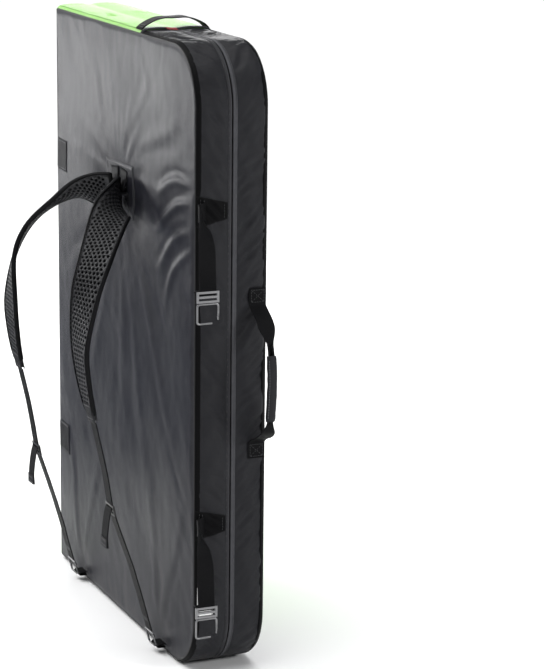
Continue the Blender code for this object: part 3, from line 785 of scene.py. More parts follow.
def wall_strip(name, side, stations, seed, look, body, replaced):
    """The side wall: from the binding across to the rounded edge, and over it to the face seam."""
    x, z, nx, nz = stations.T
    s = lengths(stations[:, :2])
    flat = np.concatenate([[0, 0.03], np.linspace(0.07, 1.0, 19)])
    low = BINDING_DEPTH - 0.0012
    depth = np.concatenate([low + (SEAM_DEPTH - low) * flat,
                            SEAM_DEPTH + ROLL * np.sin(np.radians([10, 20, 30, 40, 49, 58]))])
    S, D = np.meshgrid(s, depth, indexing="ij")
    ends = step(S / 0.012) * step((s[-1] - S) / 0.012)
    relief = wall_relief(S, D, ends, seed)
    pressed = step((np.maximum(-nx, -nz) - 0.3) / 0.5)[:, None]
    out = relief * (1 - pressed) + np.minimum(relief, 0.0008) * pressed - roll_inset(D)
    grid = joined(x[:, None] + nx[:, None] * out, JUNCTION_Y + side * D, z[:, None] + nz[:, None] * out)
    outward = np.broadcast_to(joined(nx, 0.0, nz)[:, None], grid.shape)
    low_edge = np.exp(-z / 0.10)[:, None]
    wear = np.maximum(np.exp(-(D - depth[0]) / 0.003), np.exp(-np.abs(D - SEAM_DEPTH - 0.003) / 0.002)) * 0.4
    piece = cloth_piece(name, grid, outward, look, joined(D + roll_inset(D), S), body, replaced,
                        wear + 0.4 * low_edge)
    return piece


def ring_path(depth, side, inset=0.0):
    return joined(RING[:, 0] - RING[:, 2] * inset, JUNCTION_Y + side * depth,
                     RING[:, 1] - RING[:, 3] * inset)


def ring_out():
    return joined(RING[:, 2], 0.0, RING[:, 3])


def binding_tape(prefix, side, body):
    """Tape folded over the seam where the wall meets the landing panel."""
    shape = [(-0.0058, 0.00100), (-0.0010, 0.00095), (0.0001, 0.0014), (0.0006, 0.0024), (0.0007, 0.0045),
             (0.0006, 0.0066), (0.0001, 0.0077), (-0.0008, 0.0080), (-0.0011, 0.0070), (-0.0010, 0.0034),
             (-0.0016, 0.0020), (-0.0058, 0.0017)]
    centres = ring_path(0.0, side)
    out = ring_out()
    profile = np.array(shape)
    grid = centres[:, None] + out[:, None] * profile[None, :, :1]
    grid[..., 1] += side * profile[None, :, 1]
    rows, columns = grid.shape[:2]
    faces = grid_faces(rows, columns, True, True)
    if side > 0:
        faces = [tuple(reversed(face)) for face in faces]
    around = np.concatenate([[0], np.cumsum(np.linalg.norm(np.diff(profile, axis=0), axis=1))])
    uv = np.stack(np.broadcast_arrays(around[None], RING_LENGTH[:, None]), 2)
    wear = np.broadcast_to(np.array([0, 0.2, 0.8, 0.6, 0.2, 0.3, 0.6, 0.2, 0, 0, 0, 0])[None], grid.shape[:2])
    finish_mesh(prefix + "_binding_tape", grid, faces, "binding" if side > 0 else "rear_binding", uv, wear,
                body, [prefix + "_inner_binding"])
    run = ring_path(0.0064, side, -0.00075)
    stitches(prefix + "_binding_stitches", [(np.concatenate([run, run[:1]]), np.concatenate([out, out[:1]]))],
             body, "dark_thread")


def painted_shade_band(prefix, side, body):
    """A near-black strip over the rounded edge, between the wall and the face seam: painted shade on the
    turning edge.
    """
    x, z, nx, nz = RING[: SEAM_INDEX + 1].T
    angles = np.radians([8, 18, 28, 38, 47, 55])
    depth = SEAM_DEPTH + ROLL * np.sin(angles)
    S, D = np.meshgrid(RING_LENGTH[: SEAM_INDEX + 1], depth, indexing="ij")
    out = 0.0006 - roll_inset(D)
    y = JUNCTION_Y + side * (D + 0.0003)
    grid = joined(x[:, None] + nx[:, None] * out, y, z[:, None] + nz[:, None] * out)
    outward = np.broadcast_to(joined(nx, 0.0, nz)[:, None], grid.shape)
    # Near-black cloth laid on the wall's roll: painted shade on the rounded edge.
    cloth_piece(prefix + "_painted_shade_band", grid, outward, "tab", joined(D, S), body, (),
                np.zeros_like(D), 0.0005)


def seam_piping(prefix, side, body):
    inset, depth = roll_point(SEAM_TURN)
    centres = ring_path(depth + 0.0001, side, inset - 0.0001)
    sweep(prefix + "_seam_piping", centres, ring_out(), circle(0.0012, 8), "piping", body,
          [prefix + "_piping"], closed=True)


BODY = {"rear": "harness_half", "front": "front_half"}
for prefix, side in (("rear", -1), ("front", 1)):
    body = BODY[prefix]
    landing_face(prefix, side, body)
    wall_strip(prefix + "_wall_black", side, RING[: SEAM_INDEX + 1], 51 + side, "black", body,
               [prefix + "_gusset_black"])
    wall_strip(prefix + "_wall_green", side, np.concatenate([RING[SEAM_INDEX:], RING[:1]]), 61 + side,
               "green", body, [prefix + "_gusset_green"])
    binding_tape(prefix, side, body)
    seam_piping(prefix, side, body)
    # Painted shade: a near-black strip over each rounded edge.
    painted_shade_band(prefix, side, body)

big_face("harness_cover", -1, SPINE_X, OPEN_X, harness_relief, "grey", "harness_half",
         ["rear_harness_panel"])
big_face("front_cover_green", 1, SPINE_X, SEAM_X, front_relief, "green", "front_half",
         ["front_panel_green"])
big_face("front_cover_black", 1, SEAM_X, OPEN_X, front_relief, "black", "front_half",
         ["front_panel_black"])


def face_height(side, relief, x, z):
    """Y of a cover's outer side at points of the face."""
    x, z = np.asarray(x, float), np.asarray(z, float)
    d = edge_distance(x, z)
    return JUNCTION_Y + side * (roll_depth(d) + relief(x, z, d))


# Light piping sewn between the green and the black front panel.
divider_z = np.linspace(0.0, HEIGHT, 200)
divider_x = np.full(200, SEAM_X)
divider_y = face_height(1, front_relief, divider_x, divider_z) + 0.0002
sweep("front_divider_piping", joined(divider_x, divider_y, divider_z), (1, 0, 0), circle(0.0011, 8),
      "light_piping", "front_half", ["front_panel_piping"])
stitch_x = np.full(200, SEAM_X + 0.0045)
stitch_y = face_height(1, front_relief, stitch_x, divider_z) + 0.0001
stitches("front_divider_stitches", [(joined(stitch_x, stitch_y, divider_z)[4:-4], (0, 1, 0))],
         "front_half", "dark_thread")

# Hinge web at the spine, a thin strip between the halves that stays with the harness half.
web_z = np.linspace(0.012, HEIGHT - 0.012, 120)
web_x = np.array([SPINE_X + 0.015, SPINE_X + 0.008, SPINE_X + 0.003, SPINE_X + 0.0005, SPINE_X - 0.0010])
Z, X = np.meshgrid(web_z, web_x, indexing="ij")
web_y = JUNCTION_Y + 0.0003 + 0.0002 * ripple(Z / 0.03, X / 0.01, 71)
cloth_piece("hinge_webbing", joined(X, web_y, Z), (0, 1, 0), "webbing", joined(X, Z),
                    "harness_half", ["hinge_web"], thickness=0.0007)


# ---------------------------------------------------------------- top flap, tag and loop
def flap_height(x, y):
    """The flap lies on the two walls, dips where they meet and rolls over both face seams."""
    depth = np.abs(y - JUNCTION_Y)
    lift = 0.0012 + wall_bulge(depth) - 0.0008 * np.exp(-((depth / 0.006) ** 2)) * step((SEAM_X - x) / 0.05)
    corner = np.clip(SPINE_X + SPINE_RADIUS - x, 0, SPINE_RADIUS * 0.98)
    drop = SPINE_RADIUS - np.sqrt(SPINE_RADIUS**2 - corner**2)
    soft = (ripple(x / 0.10, y / 0.05, 81) * 0.0006 + ripple(x / 0.035, y / 0.03, 82) * 0.0003)
    return HEIGHT + lift + 0.0010 - roll_inset(depth) - drop + np.abs(soft)


flap_low_y, flap_high_y = HARNESS_Y + 0.0012, FRONT_Y - 0.0012
flap_y = np.linspace(flap_low_y, flap_high_y, 41)
flap_x = np.concatenate([SPINE_X + np.array([0.0006, 0.0018, 0.0035, 0.0060, 0.0090]),
                         np.linspace(SPINE_X + 0.014, SEAM_X - 0.001, 74)])
X, Y = np.meshgrid(flap_x, flap_y, indexing="ij")
flap_wear = np.exp(-np.minimum(Y - flap_low_y, flap_high_y - Y) / 0.003) * 0.5
flap_grid = joined(X, Y, flap_height(X, Y))
flap = cloth_piece("top_flap_cover", flap_grid, (0, 0, 1), "green", joined(X, Y), "flap",
                   ["top_flap"], flap_wear, 0.0007)

hem_y = np.linspace(flap_low_y, flap_high_y, 60)
hem_centres = joined(SEAM_X - 0.0005, hem_y, flap_height(SEAM_X, hem_y) - 0.0003)
hem = sweep("top_flap_hem", hem_centres, (1, 0, 0), web_profile(0.0085, 0.0020), "binding", "flap")
hem_run = hem_centres + np.array([-0.0026, 0, 0.0011])
hem_stitches = stitches("top_flap_hem_stitches", [(hem_run, (0, 0, 1))], "flap", "dark_thread")
edge_runs = []
for y in (flap_low_y + 0.004, flap_high_y - 0.004):
    run_x = np.linspace(SPINE_X + 0.012, SEAM_X - 0.008, 120)
    edge_runs.append((joined(run_x, y, flap_height(run_x, y) + 0.0001), (0, 0, 1)))
edge_stitches = stitches("top_flap_edge_stitches", edge_runs, "flap", "dark_thread")

tag_low, tag_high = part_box("top_flap_tag")
tag_x = np.linspace(tag_low.x, tag_high.x, 8)
tag_y = np.linspace(tag_low.y, tag_high.y, 10)
X, Y = np.meshgrid(tag_x, tag_y, indexing="ij")
tag_z = flap_height(np.minimum(X, SEAM_X), Y) + 0.0016 - 0.0022 * step((X - SEAM_X - 0.002) / 0.009)
tag = cloth_piece("top_flap_red_tag", joined(X, Y, tag_z), (0, 0, 1), "red", joined(X, Y),
                  "flap", ["top_flap_tag"], thickness=0.0006)

loop_low, loop_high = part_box("top_loop_foot_rear")[0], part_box("top_loop_foot_front")[1]
loop_x = (loop_low.x + loop_high.x) / 2
loop_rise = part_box("top_loop")[1].z - HEIGHT - 0.0015
share = np.linspace(0, 1, 60)
loop_y = loop_low.y + (loop_high.y - loop_low.y) * share
loop_base = flap_height(loop_x, np.clip(loop_y, loop_low.y, loop_high.y))
loop_z = np.maximum(loop_base, HEIGHT) + 0.0014 + (loop_rise - 0.0016) * np.sin(math.pi * share) ** 0.8
loop = webbing("top_carry_loop", joined(loop_x, loop_y, loop_z), (1, 0, 0), None,
               replaced=["top_loop", "top_loop_foot_rear", "top_loop_foot_front"])
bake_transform(loop)
bar_runs = []
for y in (loop_low.y + 0.003, loop_low.y + 0.006, loop_high.y - 0.003, loop_high.y - 0.006):
    z = float(np.interp(y, loop_y, loop_z)) + 0.0012
    bar_runs.append(([(loop_x - 0.012, y, z), (loop_x + 0.012, y, z)], (0, 0, 1)))
stitches("top_loop_stitches", bar_runs, "flap")


# ---------------------------------------------------------------- patches, tabs and label
def flat_patch(name, low, high, surface, look, replaced, body, axis, inset=0.003, thick=0.0009,
               lift=0.0003, cross=False, turn=0):
    """A sewn patch that follows a surface: axis is the direction it faces, with its own row of stitches."""
    low, high = np.array(low), np.array(high)
    a = np.linspace(low[0], high[0], max(6, int((high[0] - low[0]) / 0.004)))
    b = np.linspace(low[1], high[1], max(6, int((high[1] - low[1]) / 0.004)))
    A, B = np.meshgrid(a, b, indexing="ij")
    edge = np.minimum(np.minimum(A - low[0], high[0] - A), np.minimum(B - low[1], high[1] - B))
    waves = 0.0002 * ripple(A / 0.012, B / 0.012, len(name))
    height = lift + thick * (0.55 + 0.45 * step(edge / 0.0015)) + waves
    grid = surface(A, B, height)
    wear = np.exp(-edge / 0.0015)
    uv = np.stack([B, A] if turn else [A, B], 2)
    piece = cloth_piece(name, grid, axis, look, uv, body, replaced, wear, thick)
    c, d = low + inset, high - inset
    corners = [(c[0], c[1]), (d[0], c[1]), (d[0], d[1]), (c[0], d[1]), (c[0], c[1])]
    path = resample(np.array(corners), 80)
    runs = [(surface(path[:, 0], path[:, 1], lift + thick + 0.0001), axis)]
    if cross:
        for line in ([corners[0], corners[2]], [corners[1], corners[3]]):
            path = resample(np.array(line), 30)
            runs.append((surface(path[:, 0], path[:, 1], lift + thick + 0.0001), axis))
    stitches(name + "_stitches", runs, body)
    return piece


def on_harness(a, b, height):
    return joined(a, face_height(-1, harness_relief, a, b) - height, b)


def on_open_wall(a, b, height):
    """a is along Y, b is height up the wall."""
    a, b, height = np.broadcast_arrays(np.asarray(a, float), b, height)
    depth = np.abs(a - JUNCTION_Y)
    seed = np.where(a < JUNCTION_Y, 50, 52)
    out = OPEN_X + wall_relief(OPEN_START + b, depth, 1.0, seed) - roll_inset(depth) + 0.0004 + height
    return joined(out, a, b)


for label in ("upper", "lower"):
    low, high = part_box("spine_patch_" + label)
    flat_patch("spine_patch_cloth_" + label, (low.x, low.z), (high.x, high.z), on_harness, "patch",
               ["spine_patch_" + label], "harness_half", (0, -1, 0), inset=0.0035)

low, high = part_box("harness_root_patch")
flat_patch("harness_root_cloth", (low.x, low.z), (high.x, high.z), on_harness, "grey",
           ["harness_root_patch"], "harness_half", (0, -1, 0), inset=0.004, cross=True)

low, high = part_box("care_label")
flat_patch("care_label_cloth", (low.y, low.z), (high.y, high.z), on_open_wall, "label",
           ["care_label"], "harness_half", (1, 0, 0), inset=0.0016, thick=0.0004)

for label in ("upper", "lower"):
    low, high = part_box("side_tab_" + label)
    middle = (low.z + high.z) / 2
    wide, narrow = (high.z - low.z) / 2, 0.013
    y = np.linspace(low.y - 0.0020, high.y + 0.0015, 32)
    t = np.linspace(-1, 1, 44)
    Y, T = np.meshgrid(y, t, indexing="ij")
    half = wide + (narrow - wide) * (Y - low.y) / (high.y - low.y)
    grid = on_open_wall(Y, middle + T * half, 0.0010 + 0.0001 * ripple(Y / 0.01, T * 2, 91))
    cloth_piece("side_tab_cloth_" + label, grid, (1, 0, 0), "tab", joined(Y, T * half), "harness_half",
                ["side_tab_" + label], np.exp(-(1 - np.abs(T)) / 0.06), 0.0010)
    runs = []
    for place in (low.y + 0.004, low.y + 0.009, high.y - 0.004):
        reach = wide + (narrow - wide) * (place - low.y) / (high.y - low.y) - 0.003
        line = np.linspace(-reach, reach, 20)
        runs.append((on_open_wall(np.full(20, place), middle + line, 0.0014), (1, 0, 0)))
    stitches("side_tab_stitches_" + label, runs, "harness_half", "dark_thread")


# ---------------------------------------------------------------- carry handle
HANDLE_Y = (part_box("handle_webbing")[0].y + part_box("handle_webbing")[1].y) / 2
WALL = 0.0009 + 0.0009 + float(wall_bulge(HANDLE_Y - JUNCTION_Y))
handle_route = [(WALL, 0.600 + 0.026), (WALL, 0.600 + 0.008), (WALL + 0.0008, 0.600 - 0.001),
                (0.014, 0.600 - 0.0085), (0.036, 0.600 - 0.024), (0.056, 0.600 - 0.056), (0.0635, 0.500),
                (0.062, 0.460), (0.054, 0.414), (0.036, 0.396), (0.014, 0.380 + 0.0065),
                (WALL + 0.0008, 0.379), (WALL, 0.372), (WALL, 0.354)]
handle_points = smooth_path([(OPEN_X + x, HANDLE_Y, z) for x, z in handle_route], 110)
handle_points[:, 0] = np.maximum(handle_points[:, 0], OPEN_X + WALL)


def handle_width(points):
    """Full width at the roots, folded narrow inside the grip."""
    return 0.011 + 0.017 * step((np.abs(points[:, 2] - 0.485) - 0.060) / 0.028)


handle = webbing("carry_handle_webbing", handle_points, (0, 1, 0), None,
                 replaced=["handle_webbing", "handle_root_upper", "handle_root_lower"], width=handle_width,
                 count=110)
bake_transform(handle)
for label, base in (("upper", 0.604), ("lower", 0.357)):
    c = np.array([(HANDLE_Y - 0.0105, base), (HANDLE_Y + 0.0105, base), (HANDLE_Y + 0.0105, base + 0.019),
                  (HANDLE_Y - 0.0105, base + 0.019)])
    out = OPEN_X + WALL + 0.0011
    corners = [(out, y, z) for y, z in c]
    runs = [([corners[0], corners[1], corners[2], corners[3], corners[0]], (1, 0, 0)),
            ([corners[0], corners[2]], (1, 0, 0)), ([corners[1], corners[3]], (1, 0, 0))]
    stitches("handle_root_stitches_" + label, runs, "front_half", "dark_thread")

grip_low, grip_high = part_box("handle_grip")
inside = handle_points[(handle_points[:, 2] > grip_low.z) & (handle_points[:, 2] < grip_high.z)
                       & (handle_points[:, 0] > OPEN_X + 0.045)]
grip_centres = resample(inside, 40)
along = np.linspace(0, 1, 40)
end_pinch = 1 - 0.10 * np.exp(-along / 0.03) - 0.10 * np.exp(-(1 - along) / 0.03)
grip_shape = []
for number, pinch in enumerate(end_pinch):
    angles = np.arange(20) * 2 * math.pi / 20
    wide = np.sign(np.cos(angles)) * np.abs(np.cos(angles)) ** 0.7 * 0.0080
    high = np.sign(np.sin(angles)) * np.abs(np.sin(angles)) ** 0.8 * 0.0045
    soft = 0.0004 * ripple(np.cos(angles) * 1.5 + 4, along[number] * 9 + np.sin(angles), 95)
    grip_shape.append(joined(wide * pinch + soft, high * pinch + soft))
sweep("handle_grip_cloth", grip_centres, (0, 1, 0), np.array(grip_shape), "black", "carry_handle",
      ["handle_grip"])
grip_runs = []
for y in (HANDLE_Y - 0.0056, HANDLE_Y + 0.0056):
    line = grip_centres[2:-2] + np.array([0.0042, 0, 0])
    line[:, 1] = y
    grip_runs.append((line, (1, 0, 0)))
stitches("handle_grip_stitches", grip_runs, "carry_handle")


# ---------------------------------------------------------------- wire hooks
def wire_path(width, drop, gate, bend=0.0045):
    """Local X and Z of a flat wire hook with rounded corners and an open gate."""
    half = width / 2
    corners = [(half - gate, -drop), (-half, -drop), (-half, 0.0), (half, 0.0), (half, -drop + gate * 0.5)]
    path = [np.array(corners[0])]
    for before, corner, after in zip(corners, corners[1:], corners[2:]):
        before, corner, after = np.array(before), np.array(corner), np.array(after)
        start = corner + unit(before - corner) * bend
        end = corner + unit(after - corner) * bend
        for number in range(7):
            t = number / 6
            path.append((1 - t) ** 2 * start + 2 * t * (1 - t) * corner + t * t * end)
    path.append(np.array(corners[-1]))
    return np.array(path)


def wire_hook(name, node, body, width, drop, gate, radius, place, turn):
    path = wire_path(width, drop, gate)
    local = joined(path[:, 0], 0.0, path[:, 1])
    matrix = Matrix.Translation(place) @ turn
    world = np.array([matrix @ Vector(p) for p in local])
    side = np.array(turn.to_3x3() @ Vector((0, 1, 0)))
    tip = np.linspace(0, 1, len(path))
    size = np.where((tip < 0.01) | (tip > 0.99), 0.75, 1.0)
    profile = circle(radius, 12)[None] * size[:, None, None]
    return sweep(name, world, side, profile, "metal", body, [node])


# ---------------------------------------------------------------- closing straps
for label in ("upper", "lower"):
    low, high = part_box("closing_strap_" + label)
    middle_z = {"upper": 0.750, "lower": 0.252}[label]
    root = np.array([OPEN_X + 0.0045, HARNESS_Y + 0.002, middle_z])
    offsets = [(-0.0015, 0.0125, 0.0), (-0.0020, 0.0055, 0.0), (0.0035, -0.0005, -0.0002),
               (0.022, -0.003, -0.001), (0.045, -0.007, -0.014), (0.062, -0.010, -0.040),
               (0.070, -0.012, -0.072), (0.072, -0.012, -0.105), (0.072, -0.012, -0.1085)]
    points = smooth_path([root + np.array(o) for o in offsets], 70)
    place = lengths(points) / lengths(points)[-1]
    turn = np.clip((place - 0.10) / 0.65, 0, 1) * math.pi / 2
    across = joined(0.0, -np.sin(turn), np.cos(turn))
    body = label + "_closer"
    strap = webbing("closing_webbing_" + label, points, across, None, replaced=["closing_strap_" + label])
    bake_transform(strap)
    end = points[-2]
    tail_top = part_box("closing_tail_" + label)[0].z
    tail = smooth_path([(end[0] - 0.0018, end[1], tail_top + 0.0005),
                        (end[0] - 0.0075, end[1], tail_top + 0.0012),
                        (end[0] - 0.016, end[1] + 0.001, tail_top + 0.004),
                        (end[0] - 0.025, end[1] + 0.001, tail_top)],
                       16)
    webbing("closing_tail_webbing_" + label, tail, (0, 1, 0), body, replaced=["closing_tail_" + label])
    hook_low, hook_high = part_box("closing_hook_" + label)
    hook_place = ((hook_low.x + hook_high.x) / 2, (hook_low.y + hook_high.y) / 2, hook_high.z - 0.0016)
    wire_hook("closing_wire_hook_" + label, "closing_hook_" + label, body + "_hook", 0.034, 0.030, 0.010,
              0.0016, hook_place, Matrix.Rotation(math.pi / 2, 4, "Z"))
    strap_z = [root[2] + 0.010, root[2] - 0.010]
    run = [(OPEN_X + 0.0044, root[1] + 0.010, z) for z in strap_z]
    stitches("closing_root_stitches_" + label, [(run, (1, 0, 0))], "harness_half")


# ---------------------------------------------------------------- shoulder straps
STRAP_ROUTE = [
    ((0.014, 0.0085, 0.731), (0.02, 0.00, -1.00), 0.054),
    ((0.052, 0.0260, 0.724), (0.12, -0.35, -0.93), 0.060),
    ((0.112, 0.0620, 0.702), (0.55, -0.75, -0.05), 0.066),
    ((0.164, 0.1000, 0.657), (0.76, -0.62, 0.14), 0.066),
    ((0.182, 0.1250, 0.600), (0.93, -0.37, 0.02), 0.066),
    ((0.181, 0.1345, 0.520), (1.00, -0.05, 0.02), 0.066),
    ((0.186, 0.1280, 0.450), (1.00, 0.00, 0.05), 0.054),
    ((0.190, 0.1165, 0.398), (1.00, 0.00, 0.00), 0.034),
]
SLIDER_PLACE = (0.191, 0.0880, 0.250)
HOOK_PLACE = (0.196, 0.0245, 0.0375)
STRAP_THICKNESS = 0.0062
HOLE_PITCH = 0.0080
HOLE_RADIUS = 0.0025
STRAP_EDGE = 0.0048


def strap_frame(side):
    """Centres, directions across, normals and widths along a shoulder strap, evenly spaced."""
    centres = smooth_path([(side * p[0], HARNESS_Y - p[1], p[2]) for p, a, w in STRAP_ROUTE], 200)
    across = smooth_path([unit(np.array([side * a[0], -a[1], a[2]])) for p, a, w in STRAP_ROUTE], 200)
    width = smooth_path([(w, 0, 0) for p, a, w in STRAP_ROUTE], 200)[:, :1]
    both = resample(np.concatenate([centres, across, width], 1), 400)
    centres, across, width = both[:, :3], both[:, 3:6], both[:, 6]
    along = unit(np.gradient(centres, axis=0))
    across = unit(across - along * (across * along).sum(1, keepdims=True))
    normal = np.cross(along, across)
    normal *= np.sign(-normal[250, 1])
    return centres, across, normal, width, lengths(centres)


def strap_map(strap, u, v, height):
    """Points at u along, v across and height off the middle of a strap."""
    centres, across, normal, width, place = strap
    u, v, height = np.broadcast_arrays(np.asarray(u, float), v, height)
    parts = [np.stack([np.interp(u, place, field[:, k]) for k in range(3)], -1)
             for field in (centres, across, normal)]
    return parts[0] + parts[1] * v[..., None] + parts[2] * height[..., None]


def perforated_pad(name, side, body, replaced):
    strap = strap_frame(side)
    width, place = strap[3], strap[4]
    total = place[-1] - 0.003
    start = 0.0035

    def half(u):
        return np.interp(u, place, width) / 2 - STRAP_EDGE

    edge_u = np.linspace(start, total, 190)
    low_edge = joined(edge_u, -half(edge_u))
    high_edge = joined(edge_u, half(edge_u))
    border = np.concatenate([low_edge, high_edge[::-1]])
    holes = []
    row = 0
    u = start + 0.014
    while u < total - 0.016:
        offset = HOLE_PITCH / 2 * (row % 2)
        limit = half(u) - HOLE_RADIUS - 0.0014
        count = int(limit / HOLE_PITCH) + 1
        for k in range(-count, count + 1):
            v = k * HOLE_PITCH + offset
            if abs(v) <= limit:
                holes.append((u, v))
        row += 1
        u += HOLE_PITCH * math.sqrt(3) / 2
    holes = np.array(holes)
    sides = 12
    angles = (np.arange(sides) + 0.5) * 2 * math.pi / sides
    spokes = joined(np.cos(angles), np.sin(angles))
    lip = holes[:, None] + spokes[None] * (HOLE_RADIUS + 0.00055)
    rim = holes[:, None] + spokes[None] * HOLE_RADIUS
    flat = np.concatenate([border, lip.reshape(-1, 2)])
    edges = [(k, (k + 1) % len(border)) for k in range(len(border))]
    for number in range(len(holes)):
        base = len(border) + number * sides
        edges += [(base + k, base + (k + 1) % sides) for k in range(sides)]
    out_points, _, out_faces, origins, _, _ = delaunay_2d_cdt([Vector(p) for p in flat], edges, [], 0, 1e-7)
    index_of = {}
    for number, origin in enumerate(origins):
        for source in origin:
            index_of[source] = number
    new_points = np.array([tuple(p) for p in out_points])
    faces_array = np.array(out_faces)
    centre = new_points[faces_array].mean(1)
    gaps = np.linalg.norm(centre[:, None] - holes[None], axis=2).min(1)
    inside = (np.abs(centre[:, 1]) < half(centre[:, 0])) & (centre[:, 0] > start) & (centre[:, 0] < total)
    kept = faces_array[inside & (gaps > HOLE_RADIUS + 0.0002)]
    count = len(new_points)
    rim_flat = rim.reshape(-1, 2)
    rim_count = len(rim_flat)
    thick = STRAP_THICKNESS / 2

    def crowned(points, lift):
        edge = half(points[:, 0]) - np.abs(points[:, 1])
        return thick * (0.62 + 0.38 * step(edge / 0.006)) - lift

    levels = []
    for sign in (1, -1):
        levels.append(strap_map(strap, new_points[:, 0], new_points[:, 1], sign * crowned(new_points, 0.0)))
        levels.append(strap_map(strap, rim_flat[:, 0], rim_flat[:, 1], sign * crowned(rim_flat, 0.0007)))
    points = np.concatenate(levels)
    top_rim, bottom, bottom_rim = count, count + rim_count, 2 * count + rim_count
    faces = [tuple(face) for face in kept.tolist()]
    faces += [tuple(k + bottom for k in reversed(face)) for face in kept.tolist()]
    for number in range(len(holes)):
        for k in range(sides):
            a = index_of[len(border) + number * sides + k]
            b = index_of[len(border) + number * sides + (k + 1) % sides]
            c, d = number * sides + k, number * sides + (k + 1) % sides
            faces.append((b, a, top_rim + c, top_rim + d))
            faces.append((a + bottom, b + bottom, bottom_rim + d, bottom_rim + c))
            faces.append((top_rim + d, top_rim + c, bottom_rim + c, bottom_rim + d))
    for k in range(len(border)):
        a, b = index_of[k], index_of[(k + 1) % len(border)]
        faces.append((a, b, b + bottom, a + bottom))
    both = np.concatenate([new_points, rim_flat, new_points, rim_flat])
    edge = half(both[:, 0]) - np.abs(both[:, 1])
    patchy = step(ripple(both[:, 0] / 0.03, both[:, 1] / 0.02, 97))
    wear = 0.8 * np.exp(-np.maximum(edge, 0) / 0.003) + 0.25 * patchy
    piece = finish_mesh(name, points, faces, "strap_foam", both[:, ::-1], wear, None, replaced)
    shape = bmesh.new()
    shape.from_mesh(piece.data)
    bmesh.ops.remove_doubles(shape, verts=shape.verts, dist=1e-7)
    loose = [vert for vert in shape.verts if not vert.link_faces]
    bmesh.ops.delete(shape, geom=loose, context="VERTS")
    bmesh.ops.recalc_face_normals(shape, faces=shape.faces)
    shape.to_mesh(piece.data)
    shape.free()
    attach(piece, body)
    return piece, strap


